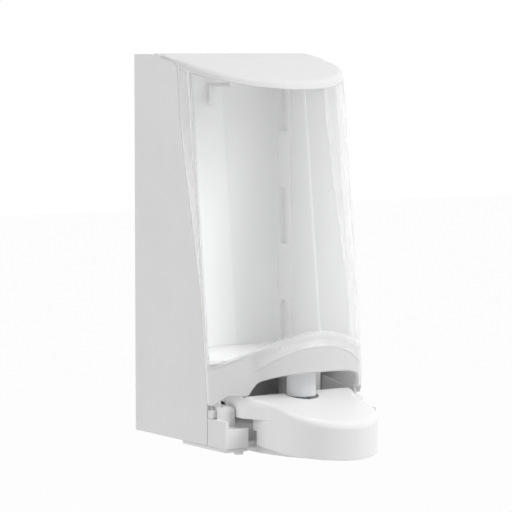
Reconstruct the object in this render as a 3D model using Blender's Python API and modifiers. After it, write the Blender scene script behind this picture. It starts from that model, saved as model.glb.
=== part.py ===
"""Wall-mounted push-lever soap dispenser, empty of its refill. Metres, +Z up, the wall at Y = 0."""

import math

import bmesh
import bpy
from mathutils import Matrix, Vector

# Gap between parts that touch, and running gap of parts that slide or turn
FIT = 0.0003
PLAY = 0.0008

# Housing
WIDTH = 0.1200
HEIGHT = 0.2500
WALL = 0.0025
HALF = WIDTH / 2
INNER_HALF = HALF - WALL
SHELF_TOP = 0.0520
SHELF_THICKNESS = 0.0025
TOP_STRIP_DEPTH = 0.0195
PANEL_SHOULDER_DROP = 0.0045
PANEL_TOP_DEPTH = 0.0522
PANEL_TOP_ROUND = 0.0080
PANEL_KNEE_DEPTH = 0.0548
PANEL_KNEE_DROP = 0.0420
PANEL_KNEE_Z = HEIGHT - PANEL_KNEE_DROP
PANEL_MEETS_COVER_Z = 0.0950
PANEL_FOOT_ROUND = 0.0030
COVER_STRIP = 0.0012
RAIL_DEPTH = 0.0160
RAIL_THICKNESS = 0.0025
RAIL_SLOT_LENGTH = 0.0380
RAIL_SLOT_WIDTH = 0.0070
RAIL_SLOT_COUNT = 3
RAIL_SLOT_MARGIN = 0.0190
RAIL_SLOT_FIRST_Z = 0.0622
RAIL_SLOT_PITCH = (HEIGHT - RAIL_SLOT_MARGIN) / RAIL_SLOT_COUNT
RAIL_SLOT_RECESS = 0.0015
WALL_HOLE_RADIUS = 0.0030
WALL_HOLE_INSET = 0.0250
WALL_HOLE_X = HALF - WALL_HOLE_INSET
WALL_HOLE_LOW_Z = 0.0410
WALL_HOLE_DROP = 0.0140
WALL_HOLE_HIGH_Z = HEIGHT - WALL_HOLE_DROP

# Front cover
CORNER_DEPTH_AT_FLOOR = 0.0902
CORNER_LEAN = 0.1084
FRONT_BULGE = 0.0420
FRONT_SWEEP = math.radians(76.0)
COVER_WALL = 0.0024
COVER_RING_BACK = 0.0100
COVER_EDGE_Z = 0.0330
CHEEK_EDGE_Z = 0.0262
CHEEK_DEPTH = 0.0905
CHEEK_SLOPE = 0.0090
LIP_CURL = 0.0050
LIP_CURL_HEIGHT = 0.0150
LIP_CURL_STEPS = 4
ROOF_RISE = 0.0005
ROOF_BACK_Z = HEIGHT + ROOF_RISE
ROOF_BACK_DEPTH = 0.0245
ROOF_FALL = 0.0180
ROOF_FALL_DEPTH = 0.0820
ROOF_POWER = 1.25
MOUTH_INSET = 0.0150
MOUTH_HALF_WIDTH = HALF - MOUTH_INSET
# Upper edge of the mouth, as shares of its half width and heights
MOUTH_ARCH = (
    (0.940, 0.0377),
    (0.900, 0.0413),
    (0.865, 0.0425),
    (0.820, 0.0433),
    (0.670, 0.0452),
    (0.520, 0.0463),
    (0.320, 0.0470),
    (0.120, 0.0473),
)

# Cover hinge
HINGE_DEPTH = 0.0262
HINGE_DROP = 0.0045
HINGE_Z = HEIGHT - HINGE_DROP
HINGE_PIN_RADIUS = 0.0015
HINGE_PIN_LENGTH = 0.0095
HINGE_PIN_SEAT = 0.0012
HINGE_LUG_RADIUS = 0.0032
HINGE_LUG_WIDTH = 0.0040
HINGE_CHEEK_DEPTH = 0.0330

# Base chassis
FLOOR_THICKNESS = 0.0030
CHASSIS_FRONT_DEPTH = 0.1062
EAR_FRONT_DEPTH = 0.0960
EAR_INSET = 0.0085
EAR_THICKNESS = 0.0065
EAR_OUTER_X = HALF - EAR_INSET
EAR_INNER_X = EAR_OUTER_X - EAR_THICKNESS
EAR_BACK_DEPTH = 0.0700
EAR_STEP_Z = 0.0180
EAR_FOOT_LEDGE = 0.0010
EAR_ROUND = 0.0035
BLOCK_REACH = 0.0035
BLOCK_INNER_X = EAR_INNER_X - BLOCK_REACH
BLOCK_TOP_Z = 0.0125
FLOOR_FRONT_DEPTH = 0.0985
POST_RADIUS = 0.0042
POST_INSET = 0.0160
POST_X = HALF - POST_INSET
POST_DEPTHS = (0.0260, 0.0600)

# Bottom plate and its pan
PLATE_THICKNESS = 0.0020
PLATE_BACK_DEPTH = 0.0560
PLATE_MARGIN = 0.0010
PAN_MARGIN = 0.0105
PAN_HALF_WIDTH = BLOCK_INNER_X - PAN_MARGIN
PAN_CENTRE_DEPTH = 0.0880
PAN_LENGTH = 0.0620
PAN_FLOOR_Z = -0.0050
PAN_WALL = 0.0020
PAN_RIM_Z = 0.0020

# Push lever
PIVOT_DEPTH = 0.0800
PIVOT_Z = 0.0220
LEVER_PIN_RADIUS = 0.0025
LEVER_PIN_LENGTH = 0.0160
LEVER_LENGTH = 0.1670
LEVER_CAP_LENGTH = 0.0364
LEVER_CAP_POWER = 1.85
LEVER_WALL = 0.0025
LEVER_TOP_Z = 0.0325
LEVER_TOP_SLOPE = 0.188
LEVER_SKIRT_Z = 0.0015
LEVER_SKIRT_SLOPE = 0.078
LEVER_GAUGE_DEPTH = 0.1000
SHOULDER_REACH = 0.0092
SHOULDER_HALF_WIDTH = EAR_INNER_X - PLAY
LEVER_HALF_WIDTH = SHOULDER_HALF_WIDTH - SHOULDER_REACH
SHOULDER_BACK_DEPTH = 0.0725
SHOULDER_FRONT_DEPTH = 0.1000
SHOULDER_BLEND = 0.0220
SHOULDER_Z = 0.0183
SHOULDER_STEPS = 6
SKIRT_BACK_DEPTH = 0.1060
SKIRT_STEP_DEPTH = 0.0970
SKIRT_STEP_Z = 0.0100
LEVER_TOP_BACK_DEPTH = 0.1020

# Pump
PUMP_DEPTH = 0.1060
BARREL_RADIUS = 0.0095
BARREL_WALL = 0.0012
BARREL_FOOT_Z = 0.0305
BARREL_TOP_Z = 0.0600
BARREL_FLANGE_RADIUS = 0.0150
BARREL_FLANGE_THICKNESS = 0.0020
BARREL_FOOT_THICKNESS = 0.0015
STEM_RADIUS = 0.0038
STEM_BORE_RADIUS = 0.0016
PISTON_STROKE = 0.0060
PISTON_HEAD_HEIGHT = 0.0040
PISTON_FLANGE_RADIUS = 0.0135
PISTON_FLANGE_THICKNESS = 0.0020
SEAL_THICKNESS = 0.0016
SEAL_WIDTH = 0.0011
LEVER_APERTURE_RADIUS = 0.0112
COLLAR_WALL = 0.0050
COLLAR_HEIGHT = 0.0050
SHELF_TONGUE_HALF_WIDTH = 0.0240
SHELF_BODY_DEPTH = 0.0680
SHELF_TONGUE_OVERHANG = 0.0125
NOZZLE_TOP_RADIUS = 0.0060
NOZZLE_TIP_RADIUS = 0.0032
NOZZLE_TIP_Z = -0.0045
NOZZLE_BORE_RADIUS = 0.0020
VALVE_HEIGHT = 0.0022
VALVE_SLIT_RADIUS = 0.0007
PAN_HOLE_RADIUS = 0.0080
SPRING_WIRE_RADIUS = 0.0004
SPRING_TURNS = 4

# Bag hanger
HANGER_DROP = 0.0215
HANGER_Z = HEIGHT - HANGER_DROP
HANGER_REACH = 0.0300
HANGER_WIDTH = 0.0080
HANGER_THICKNESS = 0.0025
HANGER_TIP = 0.0060
HANGER_FOOT_HEIGHT = 0.0140

# Latch buttons
BUTTON_DEPTH = 0.0900
BUTTON_Z = 0.0208
BUTTON_LENGTH = 0.0044
BUTTON_HEIGHT = 0.0050
BUTTON_PROUD = 0.0004
BUTTON_STEM = 0.0085
BUTTON_BACK_X = HALF - BUTTON_STEM
BUTTON_TRAVEL = 0.0022
LATCH_ARM_THICKNESS = 0.0022
LATCH_ARM_TOP_Z = 0.0315
CATCH_REACH = 0.0020
CATCH_THICKNESS = 0.0018
POCKET_REACH = 0.0136
POCKET_BACK_X = HALF - POCKET_REACH
LATCH_SPRING_RADIUS = 0.0015
LATCH_WIRE_RADIUS = 0.00025
LATCH_SPRING_TURNS = 4

# Screws
SCREW_RADIUS = 0.0013
SCREW_HEAD_RADIUS = 0.0030
SCREW_HEAD_THICKNESS = 0.0018
SCREW_SOCKET_RADIUS = 0.0014
SCREW_SOCKET_DEPTH = 0.0010
SCREW_LENGTH = 0.0100
CHASSIS_SCREW_INSET = 0.0150
CHASSIS_SCREW_X = HALF - CHASSIS_SCREW_INSET
CHASSIS_SCREW_DEPTH = 0.0105
BOSS_HALF_WIDTH = 0.0045
BOSS_HEIGHT = 0.0140
PLATE_SCREW_INSET = 0.0140
PLATE_SCREW_X = HALF - PLATE_SCREW_INSET
PLATE_SCREW_DEPTH = 0.1015

FAR = 0.4000
BELOW = -FAR / 10
ROUND_SEGMENTS = 24
FINE_SEGMENTS = 32
SCREW_SEGMENTS = 12
TURN_STEPS = 8
MERGE_DISTANCE = 0.00001

parts = bpy.data.collections.new("soap_dispenser")
cutters = bpy.data.collections.new("cutters")


def clear_scene():
    for old in list(bpy.data.objects):
        bpy.data.objects.remove(old, do_unlink=True)
    bpy.context.scene.collection.children.link(parts)
    bpy.context.scene.collection.children.link(cutters)


def finish(name, colour, roughness, metallic=0.0, transmission=0.0):
    """One Principled material."""
    made = bpy.data.materials.new(name)
    made.use_nodes = True
    shader = made.node_tree.nodes["Principled BSDF"]
    shader.inputs["Base Color"].default_value = (*colour, 1.0)
    shader.inputs["Roughness"].default_value = roughness
    shader.inputs["Metallic"].default_value = metallic
    shader.inputs["Transmission Weight"].default_value = transmission
    return made


def white_body():
    return finish("white_body_plastic", (0.80, 0.80, 0.80), 0.38)


def white_lever():
    return finish("white_lever_plastic", (0.84, 0.84, 0.84), 0.34)


def clear_cover():
    return finish("clear_cover_plastic", (0.93, 0.94, 0.95), 0.12, transmission=0.85)


def pale_pump():
    return finish("pale_pump_plastic", (0.74, 0.75, 0.76), 0.42)


def soft_rubber():
    return finish("soft_rubber", (0.20, 0.21, 0.22), 0.70)


def bright_steel():
    return finish("bright_steel", (0.62, 0.62, 0.60), 0.28, metallic=1.0)


def place(obj, collection):
    """Move an object into one collection only."""
    for holder in list(obj.users_collection):
        holder.objects.unlink(obj)
    collection.objects.link(obj)
    if collection is cutters:
        obj.hide_render = True
        obj.display_type = "WIRE"
    return obj


def from_bmesh(name, shape, collection=cutters):
    mesh = bpy.data.meshes.new(name)
    bmesh.ops.recalc_face_normals(shape, faces=shape.faces)
    shape.to_mesh(mesh)
    shape.free()
    return place(bpy.data.objects.new(name, mesh), collection)


def box(name, low, high, collection=cutters):
    """A box between two corners."""
    low, high = Vector(low), Vector(high)
    size = high - low
    shape = bmesh.new()
    bmesh.ops.create_cube(shape, size=1.0)
    bmesh.ops.scale(shape, vec=size, verts=shape.verts)
    obj = from_bmesh(name, shape, collection)
    obj.location = (low + high) / 2
    return obj


def rod(name, radius, start, end, collection=cutters):
    """A round bar between two points."""
    start, end = Vector(start), Vector(end)
    length = (end - start).length
    shape = bmesh.new()
    bmesh.ops.create_cone(
        shape, cap_ends=True, segments=ROUND_SEGMENTS, radius1=radius, radius2=radius, depth=length
    )
    obj = from_bmesh(name, shape, collection)
    obj.location = (start + end) / 2
    obj.rotation_euler = (end - start).to_track_quat("Z", "Y").to_euler()
    return obj


def as_mesh(curve_object, collection):
    """Turn a curve object into a welded mesh object at the same place."""
    bpy.context.view_layer.update()
    graph = bpy.context.evaluated_depsgraph_get()
    mesh = bpy.data.meshes.new_from_object(curve_object.evaluated_get(graph))
    shape = bmesh.new()
    shape.from_mesh(mesh)
    bmesh.ops.remove_doubles(shape, verts=shape.verts, dist=MERGE_DISTANCE)
    bmesh.ops.recalc_face_normals(shape, faces=shape.faces)
    shape.to_mesh(mesh)
    shape.free()
    name = curve_object.name
    matrix = curve_object.matrix_world.copy()
    bpy.data.objects.remove(curve_object, do_unlink=True)
    obj = bpy.data.objects.new(name, mesh)
    obj.matrix_world = matrix
    return place(obj, collection)


def prism(name, outline, low, high, axis="Z", collection=cutters):
    """A flat outline pushed out from low to high. The outline is in XY for axis Z, and in YZ for axis X."""
    curve = bpy.data.curves.new(name, "CURVE")
    curve.dimensions = "2D"
    curve.fill_mode = "BOTH"
    curve.extrude = (high - low) / 2
    spline = curve.splines.new("POLY")
    spline.points.add(len(outline) - 1)
    for point, (u, v) in zip(spline.points, outline):
        point.co = (u, v, 0.0, 1.0)
    spline.use_cyclic_u = True
    obj = place(bpy.data.objects.new(name, curve), parts)
    middle = (low + high) / 2
    if axis == "X":
        obj.rotation_euler = (math.pi / 2, 0.0, math.pi / 2)
        obj.location = (middle, 0.0, 0.0)
    else:
        obj.location = (0.0, 0.0, middle)
    return as_mesh(obj, collection)


def loft(name, rings, collection=cutters):
    """A solid through closed rings of equal count, from the lowest to the highest."""
    shape = bmesh.new()
    rows = [[shape.verts.new(point) for point in ring] for ring in rings]
    count = len(rows[0])
    for lower, upper in zip(rows, rows[1:]):
        for i in range(count):
            j = (i + 1) % count
            shape.faces.new((lower[i], lower[j], upper[j], upper[i]))
    shape.faces.new(rows[0])
    shape.faces.new(rows[-1])
    return from_bmesh(name, shape, collection)


def turned(name, profile, x=0.0, depth=PUMP_DEPTH, segments=FINE_SEGMENTS, closed=True):
    """A profile of (radius, z) points, top to bottom on its outer side, turned about a vertical axis."""
    mesh = bpy.data.meshes.new(name)
    edges = [(i, i + 1) for i in range(len(profile) - 1)]
    if closed:
        edges.append((len(profile) - 1, 0))
    mesh.from_pydata([(radius, 0.0, z) for radius, z in profile], edges, [])
    obj = place(bpy.data.objects.new(name, mesh), parts)
    obj.location = (x, -depth, 0.0)
    turn = obj.modifiers.new("turn", "SCREW")
    turn.steps = segments
    turn.render_steps = segments
    turn.use_merge_vertices = True
    turn.merge_threshold = MERGE_DISTANCE
    return obj


def combine(obj, helper, operation):
    """Add a Boolean that cuts, joins or keeps the common part."""
    modifier = obj.modifiers.new(helper.name, "BOOLEAN")
    modifier.operation = operation
    modifier.object = helper
    modifier.solver = "EXACT"
    return obj


def cut(obj, *helpers):
    for helper in helpers:
        combine(obj, helper, "DIFFERENCE")
    return obj


def join(obj, *helpers):
    for helper in helpers:
        combine(obj, helper, "UNION")
    return obj


def keep(obj, helper):
    return combine(obj, helper, "INTERSECT")


def dress(obj, material):
    """Give the sub-part its material and smooth its round faces."""
    obj.data.materials.clear()
    obj.data.materials.append(material)
    if len(obj.data.polygons):
        obj.data.shade_smooth()
        obj.data.set_sharp_from_angle(angle=math.radians(30.0))
    return obj


def both_sides():
    return (("left", -1.0), ("right", 1.0))


def mirrored_box(name, low, high, side):
    """A box given for +X, on the side that is asked for."""
    near, far = sorted((side * low[0], side * high[0]))
    return box(name, (near, low[1], low[2]), (far, high[1], high[2]))


def arc(centre, radius, start, end, steps):
    """Points along an arc, angles in radians."""
    points = []
    for i in range(steps + 1):
        angle = start + (end - start) * i / steps
        points.append((centre[0] + radius * math.cos(angle), centre[1] + radius * math.sin(angle)))
    return points


def corner_depth(z):
    """Depth of the cover's corner line in front of the wall, at a height."""
    return CORNER_DEPTH_AT_FLOOR - CORNER_LEAN * z


def roof_z(depth):
    """Height of the cover's roof at a depth."""
    reach = max(depth - ROOF_BACK_DEPTH, 0.0) / ROOF_FALL_DEPTH
    return ROOF_BACK_Z - ROOF_FALL * reach**ROOF_POWER


def curl(z):
    """How far the chin's lip draws in near its lower edge."""
    reach = (COVER_EDGE_Z + LIP_CURL_HEIGHT - z) / LIP_CURL_HEIGHT
    return LIP_CURL * min(max(reach, 0.0), 1.0) ** 2


def cover_ring(z, inset=0.0):
    """The cover's plan outline at a height, drawn in by inset."""
    half = HALF - inset
    steps = ROUND_SEGMENTS
    corner = corner_depth(z)
    bulge = FRONT_BULGE - inset - curl(z)
    ring = [(-half, -COVER_RING_BACK, z)]
    base = math.cos(FRONT_SWEEP)
    for i in range(steps + 1):
        angle = FRONT_SWEEP * (2.0 * i / steps - 1.0)
        x = half * math.sin(angle) / math.sin(FRONT_SWEEP)
        y = -(corner + bulge * (math.cos(angle) - base) / (1.0 - base))
        ring.append((x, y, z))
    ring.append((half, -COVER_RING_BACK, z))
    return ring


def panel_foot_depth():
    """Depth of the side panel's front edge below the cover."""
    return corner_depth(CHEEK_EDGE_Z) - COVER_STRIP


def panel_edge(offset=0.0):
    """The side panel's outline points from its top strip to its foot, moved out by offset."""
    meets = corner_depth(PANEL_MEETS_COVER_Z) - COVER_STRIP
    foot = panel_foot_depth()
    shoulder_z = HEIGHT - PANEL_SHOULDER_DROP
    round_centre = (-(PANEL_TOP_DEPTH - PANEL_TOP_ROUND), shoulder_z - PANEL_TOP_ROUND)
    edge = [(-(TOP_STRIP_DEPTH), HEIGHT + offset)]
    edge += arc(round_centre, PANEL_TOP_ROUND + offset, math.radians(97.0), math.radians(180.0), 5)
    edge.append((-(PANEL_KNEE_DEPTH + offset), PANEL_KNEE_Z))
    edge.append((-(meets + offset), PANEL_MEETS_COVER_Z))
    edge.append((-(foot + offset), CHEEK_EDGE_Z))
    edge.append((-(foot + offset), 0.0))
    return edge


def side_panel_outline():
    """The side panel seen from the side, as (y, z)."""
    foot = arc((-PANEL_FOOT_ROUND, PANEL_FOOT_ROUND), PANEL_FOOT_ROUND, -math.pi / 2, 0.0, 4)
    return foot + [(0.0, HEIGHT)] + panel_edge()


def make_housing():
    """Back plate, side panels, top strip, slotted rails and screw bosses in one moulding."""
    shell = box("housing_shell", (-HALF, -WALL, 0.0), (HALF, 0.0, HEIGHT), parts)
    top = box("housing_top", (-HALF, -TOP_STRIP_DEPTH, HEIGHT - WALL), (HALF, 0.0, HEIGHT))
    join(shell, top)
    for side_name, side in both_sides():
        near, far = sorted((side * INNER_HALF, side * HALF))
        join(shell, prism(f"panel_{side_name}", side_panel_outline(), near, far, "X"))
        rail_low = (INNER_HALF - RAIL_THICKNESS, -RAIL_DEPTH, FLOOR_THICKNESS + FIT)
        rail_high = (INNER_HALF + WALL / 2, -WALL / 2, HEIGHT - WALL / 2)
        join(shell, mirrored_box(f"rail_{side_name}", rail_low, rail_high, side))
        join(shell, hinge_cheek(side_name, side))
        boss_front = -(CHASSIS_SCREW_DEPTH + BOSS_HALF_WIDTH)
        boss_low = (CHASSIS_SCREW_X - BOSS_HALF_WIDTH, boss_front, FLOOR_THICKNESS + FIT)
        boss_high = (CHASSIS_SCREW_X + BOSS_HALF_WIDTH, -WALL / 2, FLOOR_THICKNESS + BOSS_HEIGHT)
        join(shell, mirrored_box(f"boss_{side_name}", boss_low, boss_high, side))
    for side_name, side in both_sides():
        cut_rail_slots(shell, side_name, side)
        pilot = rod(
            f"pilot_{side_name}",
            SCREW_RADIUS + FIT,
            (side * CHASSIS_SCREW_X, -CHASSIS_SCREW_DEPTH, -PLATE_THICKNESS),
            (side * CHASSIS_SCREW_X, -CHASSIS_SCREW_DEPTH, SCREW_LENGTH + FIT),
        )
        seat = rod(
            f"pin_seat_{side_name}",
            HINGE_PIN_RADIUS + FIT,
            (side * (INNER_HALF - WALL), -HINGE_DEPTH, HINGE_Z),
            (side * (INNER_HALF + HINGE_PIN_SEAT + FIT), -HINGE_DEPTH, HINGE_Z),
        )
        cut(shell, pilot, seat)
        x = side * WALL_HOLE_X
        for level_name, z in (("low", WALL_HOLE_LOW_Z), ("high", WALL_HOLE_HIGH_Z)):
            name = f"wall_hole_{side_name}_{level_name}"
            cut(shell, rod(name, WALL_HOLE_RADIUS, (x, -2 * WALL, z), (x, WALL, z)))
    foot = box("floor_room", (-INNER_HALF, -WALL, -WALL), (INNER_HALF, WALL, 0.0))
    cut(shell, foot)
    return dress(shell, white_body())


def hinge_cheek(side_name, side):
    """A raised stretch of the side panel beside the hinge, level with the cover's roof."""
    near, far = sorted((side * INNER_HALF, side * HALF))
    front = HINGE_CHEEK_DEPTH - PLAY
    depths = (ROOF_BACK_DEPTH, (ROOF_BACK_DEPTH + front) / 2, front)
    outline = [(-depth, roof_z(depth)) for depth in depths]
    outline += [(-front, HINGE_Z), (-ROOF_BACK_DEPTH, HINGE_Z)]
    return prism(f"hinge_cheek_{side_name}", outline, near, far, "X")


def cut_rail_slots(shell, side_name, side):
    """Three tall slots sunk into the rail at the back of each side wall."""
    middle = (RAIL_DEPTH + WALL) / 2
    for i in range(RAIL_SLOT_COUNT):
        z = RAIL_SLOT_FIRST_Z + i * RAIL_SLOT_PITCH
        inner, outer = INNER_HALF - 2 * RAIL_THICKNESS, INNER_HALF + WALL - RAIL_SLOT_RECESS
        low = (inner, -middle - RAIL_SLOT_WIDTH / 2, z - RAIL_SLOT_LENGTH / 2)
        high = (outer, -middle + RAIL_SLOT_WIDTH / 2, z + RAIL_SLOT_LENGTH / 2)
        cut(shell, mirrored_box(f"rail_slot_{side_name}_{i + 1}", low, high, side))


def roof_profile(drop=0.0):
    """Everything under the roof, seen from the side, as (y, z)."""
    steps = ROUND_SEGMENTS // 2
    reach = (ROOF_FALL_DEPTH + FRONT_BULGE) / steps
    depths = [ROOF_BACK_DEPTH + reach * i for i in range(steps + 1)]
    line = [(-depth, roof_z(depth) - drop) for depth in depths]
    below = [(-FAR, BELOW), (0.0, BELOW), (0.0, ROOF_BACK_Z - drop)]
    return below + line + [(-FAR, line[-1][1])]


def cover_levels():
    """Heights of the cover's rings: closer together where the lip curls."""
    steps = LIP_CURL_STEPS
    curl_levels = [COVER_EDGE_Z + LIP_CURL_HEIGHT * i / steps for i in range(steps + 1)]
    return [CHEEK_EDGE_Z - WALL] + curl_levels + [HEIGHT + WALL]


def make_cover():
    """Clear front with its milky roof and chin, hinge lugs and latch catches, as one moulding."""
    shell = loft("front_cover", [cover_ring(z) for z in cover_levels()], parts)
    keep(shell, prism("roof_above", roof_profile(), -HALF - WALL, HALF + WALL, "X"))
    inner_levels = [BELOW] + cover_levels()[1:]
    hollow = loft("cover_hollow", [cover_ring(z, COVER_WALL) for z in inner_levels])
    keep(hollow, prism("roof_below", roof_profile(COVER_WALL), -HALF - WALL, HALF + WALL, "X"))
    cut(shell, hollow)
    behind = panel_edge(FIT + FIT)
    behind = [(FAR, BELOW), (FAR, behind[0][1])] + behind + [(behind[-1][0], BELOW)]
    cut(shell, prism("panel_room", behind, -HALF - WALL, HALF + WALL, "X"))
    cut(shell, box("roof_back", (-FAR, -ROOF_BACK_DEPTH, 0.0), (FAR, FAR, FAR)))
    for side_name, side in both_sides():
        low = (INNER_HALF - PLAY, -HINGE_CHEEK_DEPTH, HINGE_Z - HINGE_LUG_RADIUS)
        cut(shell, mirrored_box(f"cheek_room_{side_name}", low, (FAR, FAR, FAR), side))
    cut(shell, prism("cover_foot", cover_foot_outline(), -HALF - WALL, HALF + WALL, "X"))
    cut(shell, mouth())
    for side_name, side in both_sides():
        join(shell, hinge_lug(side_name, side))
        cut(shell, hinge_bore(side_name, side))
        join(shell, catch(side_name, side))
    shell = dress(shell, clear_cover())
    set_origin(shell, (0.0, -HINGE_DEPTH, HINGE_Z))
    return shell


def cover_foot_outline():
    """What is cut away under the cover: level at the front, lower at the two cheeks."""
    slope_end = CHEEK_DEPTH + CHEEK_SLOPE
    return [
        (0.0, BELOW),
        (0.0, CHEEK_EDGE_Z),
        (-CHEEK_DEPTH, CHEEK_EDGE_Z),
        (-slope_end, COVER_EDGE_Z),
        (-FAR, COVER_EDGE_Z),
        (-FAR, BELOW),
    ]


def mouth():
    """The arch in the chin above the lever, pushed back through the front wall only."""
    half = MOUTH_HALF_WIDTH
    low = COVER_EDGE_Z - WALL
    back = -(corner_depth(0.0) - WALL)
    right = [(half, low)] + [(share * half, z) for share, z in MOUTH_ARCH]
    outline = right + [(-x, z) for x, z in reversed(right)]
    rings = [[(x, y, z) for x, z in outline] for y in (-FAR, back)]
    return loft("mouth", rings)


def hinge_lug(side_name, side):
    """An ear under the roof that turns on the hinge pin."""
    inner = lug_inner_x()
    near, far = sorted((side * inner, side * (inner + HINGE_LUG_WIDTH)))
    outline = arc((-HINGE_DEPTH, HINGE_Z), HINGE_LUG_RADIUS, math.pi, 2 * math.pi, 8)
    top = ROOF_BACK_Z - COVER_WALL / 2
    outline += [(-ROOF_BACK_DEPTH, HINGE_Z), (-ROOF_BACK_DEPTH, top)]
    outline.append((-(HINGE_DEPTH + HINGE_LUG_RADIUS), top - FIT))
    outline = [(min(y, -ROOF_BACK_DEPTH), z) for y, z in outline]
    return prism(f"lug_{side_name}", outline, near, far, "X")


def lug_inner_x():
    return INNER_HALF - FIT - PLAY - HINGE_LUG_WIDTH


def hinge_bore(side_name, side):
    start = (side * (lug_inner_x() - WALL), -HINGE_DEPTH, HINGE_Z)
    end = (side * (INNER_HALF + FIT), -HINGE_DEPTH, HINGE_Z)
    return rod(f"hinge_bore_{side_name}", HINGE_PIN_RADIUS + FIT, start, end)


def catch_inner_x():
    """How far in the cover's catch reaches."""
    return HALF - COVER_WALL - CATCH_REACH


def latch_arm_x():
    """Outer face of the latch arm, just inside the catch."""
    return catch_inner_x() - FIT


def inside_cheek_x():
    """Outer face of what stands inside the cover's cheek."""
    return HALF - COVER_WALL - PLAY


def catch(side_name, side):
    """A small stop inside each cheek, beside the latch arm."""
    back = -panel_foot_depth() - 2 * FIT
    low = (catch_inner_x(), back - CATCH_THICKNESS, CHEEK_EDGE_Z + WALL / 2)
    high = (HALF - COVER_WALL / 2, back, LATCH_ARM_TOP_Z - FIT)
    return mirrored_box(f"catch_{side_name}", low, high, side)


def set_origin(obj, point):
    """Move an object's origin to a world point without moving its shape."""
    shift = Vector(point) - obj.location
    obj.data.transform(Matrix.Translation(-shift))
    obj.location = Vector(point)


def ear_top():
    return CHEEK_EDGE_Z - PLAY


def ear_outline(back):
    """A chassis ear seen from the side, as (y, z), rounded at its upper front."""
    low, top = FLOOR_THICKNESS / 2, ear_top()
    centre = (-(EAR_FRONT_DEPTH - EAR_ROUND), top - EAR_ROUND)
    rounded = arc(centre, EAR_ROUND, math.pi / 2, math.pi, 4)
    return [(-back, low), (-back, top)] + rounded + [(-EAR_FRONT_DEPTH, low)]


def ear_outer_back():
    """Where the ear widens to the full width, just in front of the side panel."""
    return panel_foot_depth() + 2 * FIT


def make_chassis():
    """Floor, side blocks, pivot ears and shelf posts in one moulding."""
    side_room = INNER_HALF - FIT
    low = (-side_room, -FLOOR_FRONT_DEPTH, 0.0)
    floor = box("base_chassis", low, (side_room, -WALL - FIT, FLOOR_THICKNESS), parts)
    for side_name, side in both_sides():
        near, far = sorted((side * EAR_INNER_X, side * EAR_OUTER_X))
        join(floor, prism(f"ear_{side_name}", ear_outline(EAR_BACK_DEPTH), near, far, "X"))
        near, far = sorted((side * (EAR_INNER_X + WALL), side * inside_cheek_x()))
        join(floor, prism(f"ear_skin_{side_name}", ear_outline(ear_outer_back()), near, far, "X"))
        back_low = (EAR_INNER_X + WALL, -ear_outer_back() - FIT, FLOOR_THICKNESS / 2)
        back_high = (side_room, -EAR_BACK_DEPTH, ear_top())
        join(floor, mirrored_box(f"ear_back_{side_name}", back_low, back_high, side))
        block_low = (BLOCK_INNER_X, -CHASSIS_FRONT_DEPTH, 0.0)
        block_high = (HALF - WALL / 2, -FLOOR_FRONT_DEPTH + 2 * WALL, BLOCK_TOP_Z)
        join(floor, mirrored_box(f"block_{side_name}", block_low, block_high, side))
        foot_low = (EAR_INNER_X + WALL, -EAR_FRONT_DEPTH, 0.0)
        foot_high = (HALF, -ear_outer_back(), EAR_STEP_Z)
        join(floor, mirrored_box(f"ear_foot_{side_name}", foot_low, foot_high, side))
        skin_low = (HALF - WALL, -(CHASSIS_FRONT_DEPTH + EAR_FOOT_LEDGE), 0.0)
        join(floor, mirrored_box(f"foot_skin_{side_name}", skin_low, foot_high, side))
        for i, depth in enumerate(POST_DEPTHS):
            start = (side * POST_X, -depth, FLOOR_THICKNESS / 2)
            end = (side * POST_X, -depth, SHELF_TOP - SHELF_THICKNESS - FIT)
            join(floor, rod(f"post_{side_name}_{i + 1}", POST_RADIUS, start, end))
    for side_name, side in both_sides():
        cut(floor, *chassis_cutters(side_name, side))
    return dress(floor, white_body())


def chassis_cutters(side_name, side):
    """Pivot bore, latch pocket and screw bores of one side."""
    bore_start = (side * (EAR_INNER_X - WALL), -PIVOT_DEPTH, PIVOT_Z)
    bore_end = (side * (lever_pin_outer_x() + FIT), -PIVOT_DEPTH, PIVOT_Z)
    yield rod(f"pivot_bore_{side_name}", LEVER_PIN_RADIUS + FIT, bore_start, bore_end)
    half_length = BUTTON_LENGTH / 2 + FIT
    half_height = BUTTON_HEIGHT / 2 + FIT
    low = (POCKET_BACK_X, -(BUTTON_DEPTH + half_length), BUTTON_Z - half_height)
    high = (HALF + WALL, -(BUTTON_DEPTH - half_length), BUTTON_Z + half_height)
    yield mirrored_box(f"button_room_{side_name}", low, high, side)
    arm_reach = latch_arm_x() - LATCH_ARM_THICKNESS - BUTTON_TRAVEL - PLAY
    low = (arm_reach, -(BUTTON_DEPTH + half_length), BUTTON_Z)
    high = (FAR, -(BUTTON_DEPTH - half_length), FAR)
    yield mirrored_box(f"arm_room_{side_name}", low, high, side)
    x = side * CHASSIS_SCREW_X
    start = (x, -CHASSIS_SCREW_DEPTH, -WALL)
    end = (x, -CHASSIS_SCREW_DEPTH, FLOOR_THICKNESS + WALL)
    yield rod(f"chassis_bore_{side_name}", SCREW_RADIUS + FIT, start, end)
    start = (side * PLATE_SCREW_X, -PLATE_SCREW_DEPTH, -WALL)
    end = (side * PLATE_SCREW_X, -PLATE_SCREW_DEPTH, SCREW_LENGTH - PLATE_THICKNESS)
    yield rod(f"plate_pilot_{side_name}", SCREW_RADIUS + FIT, start, end)
    for i, depth in enumerate(POST_DEPTHS):
        start = (side * POST_X, -depth, SHELF_TOP - SCREW_LENGTH - FIT)
        end = (side * POST_X, -depth, SHELF_TOP + WALL)
        yield rod(f"post_pilot_{side_name}_{i + 1}", SCREW_RADIUS + FIT, start, end)


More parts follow.
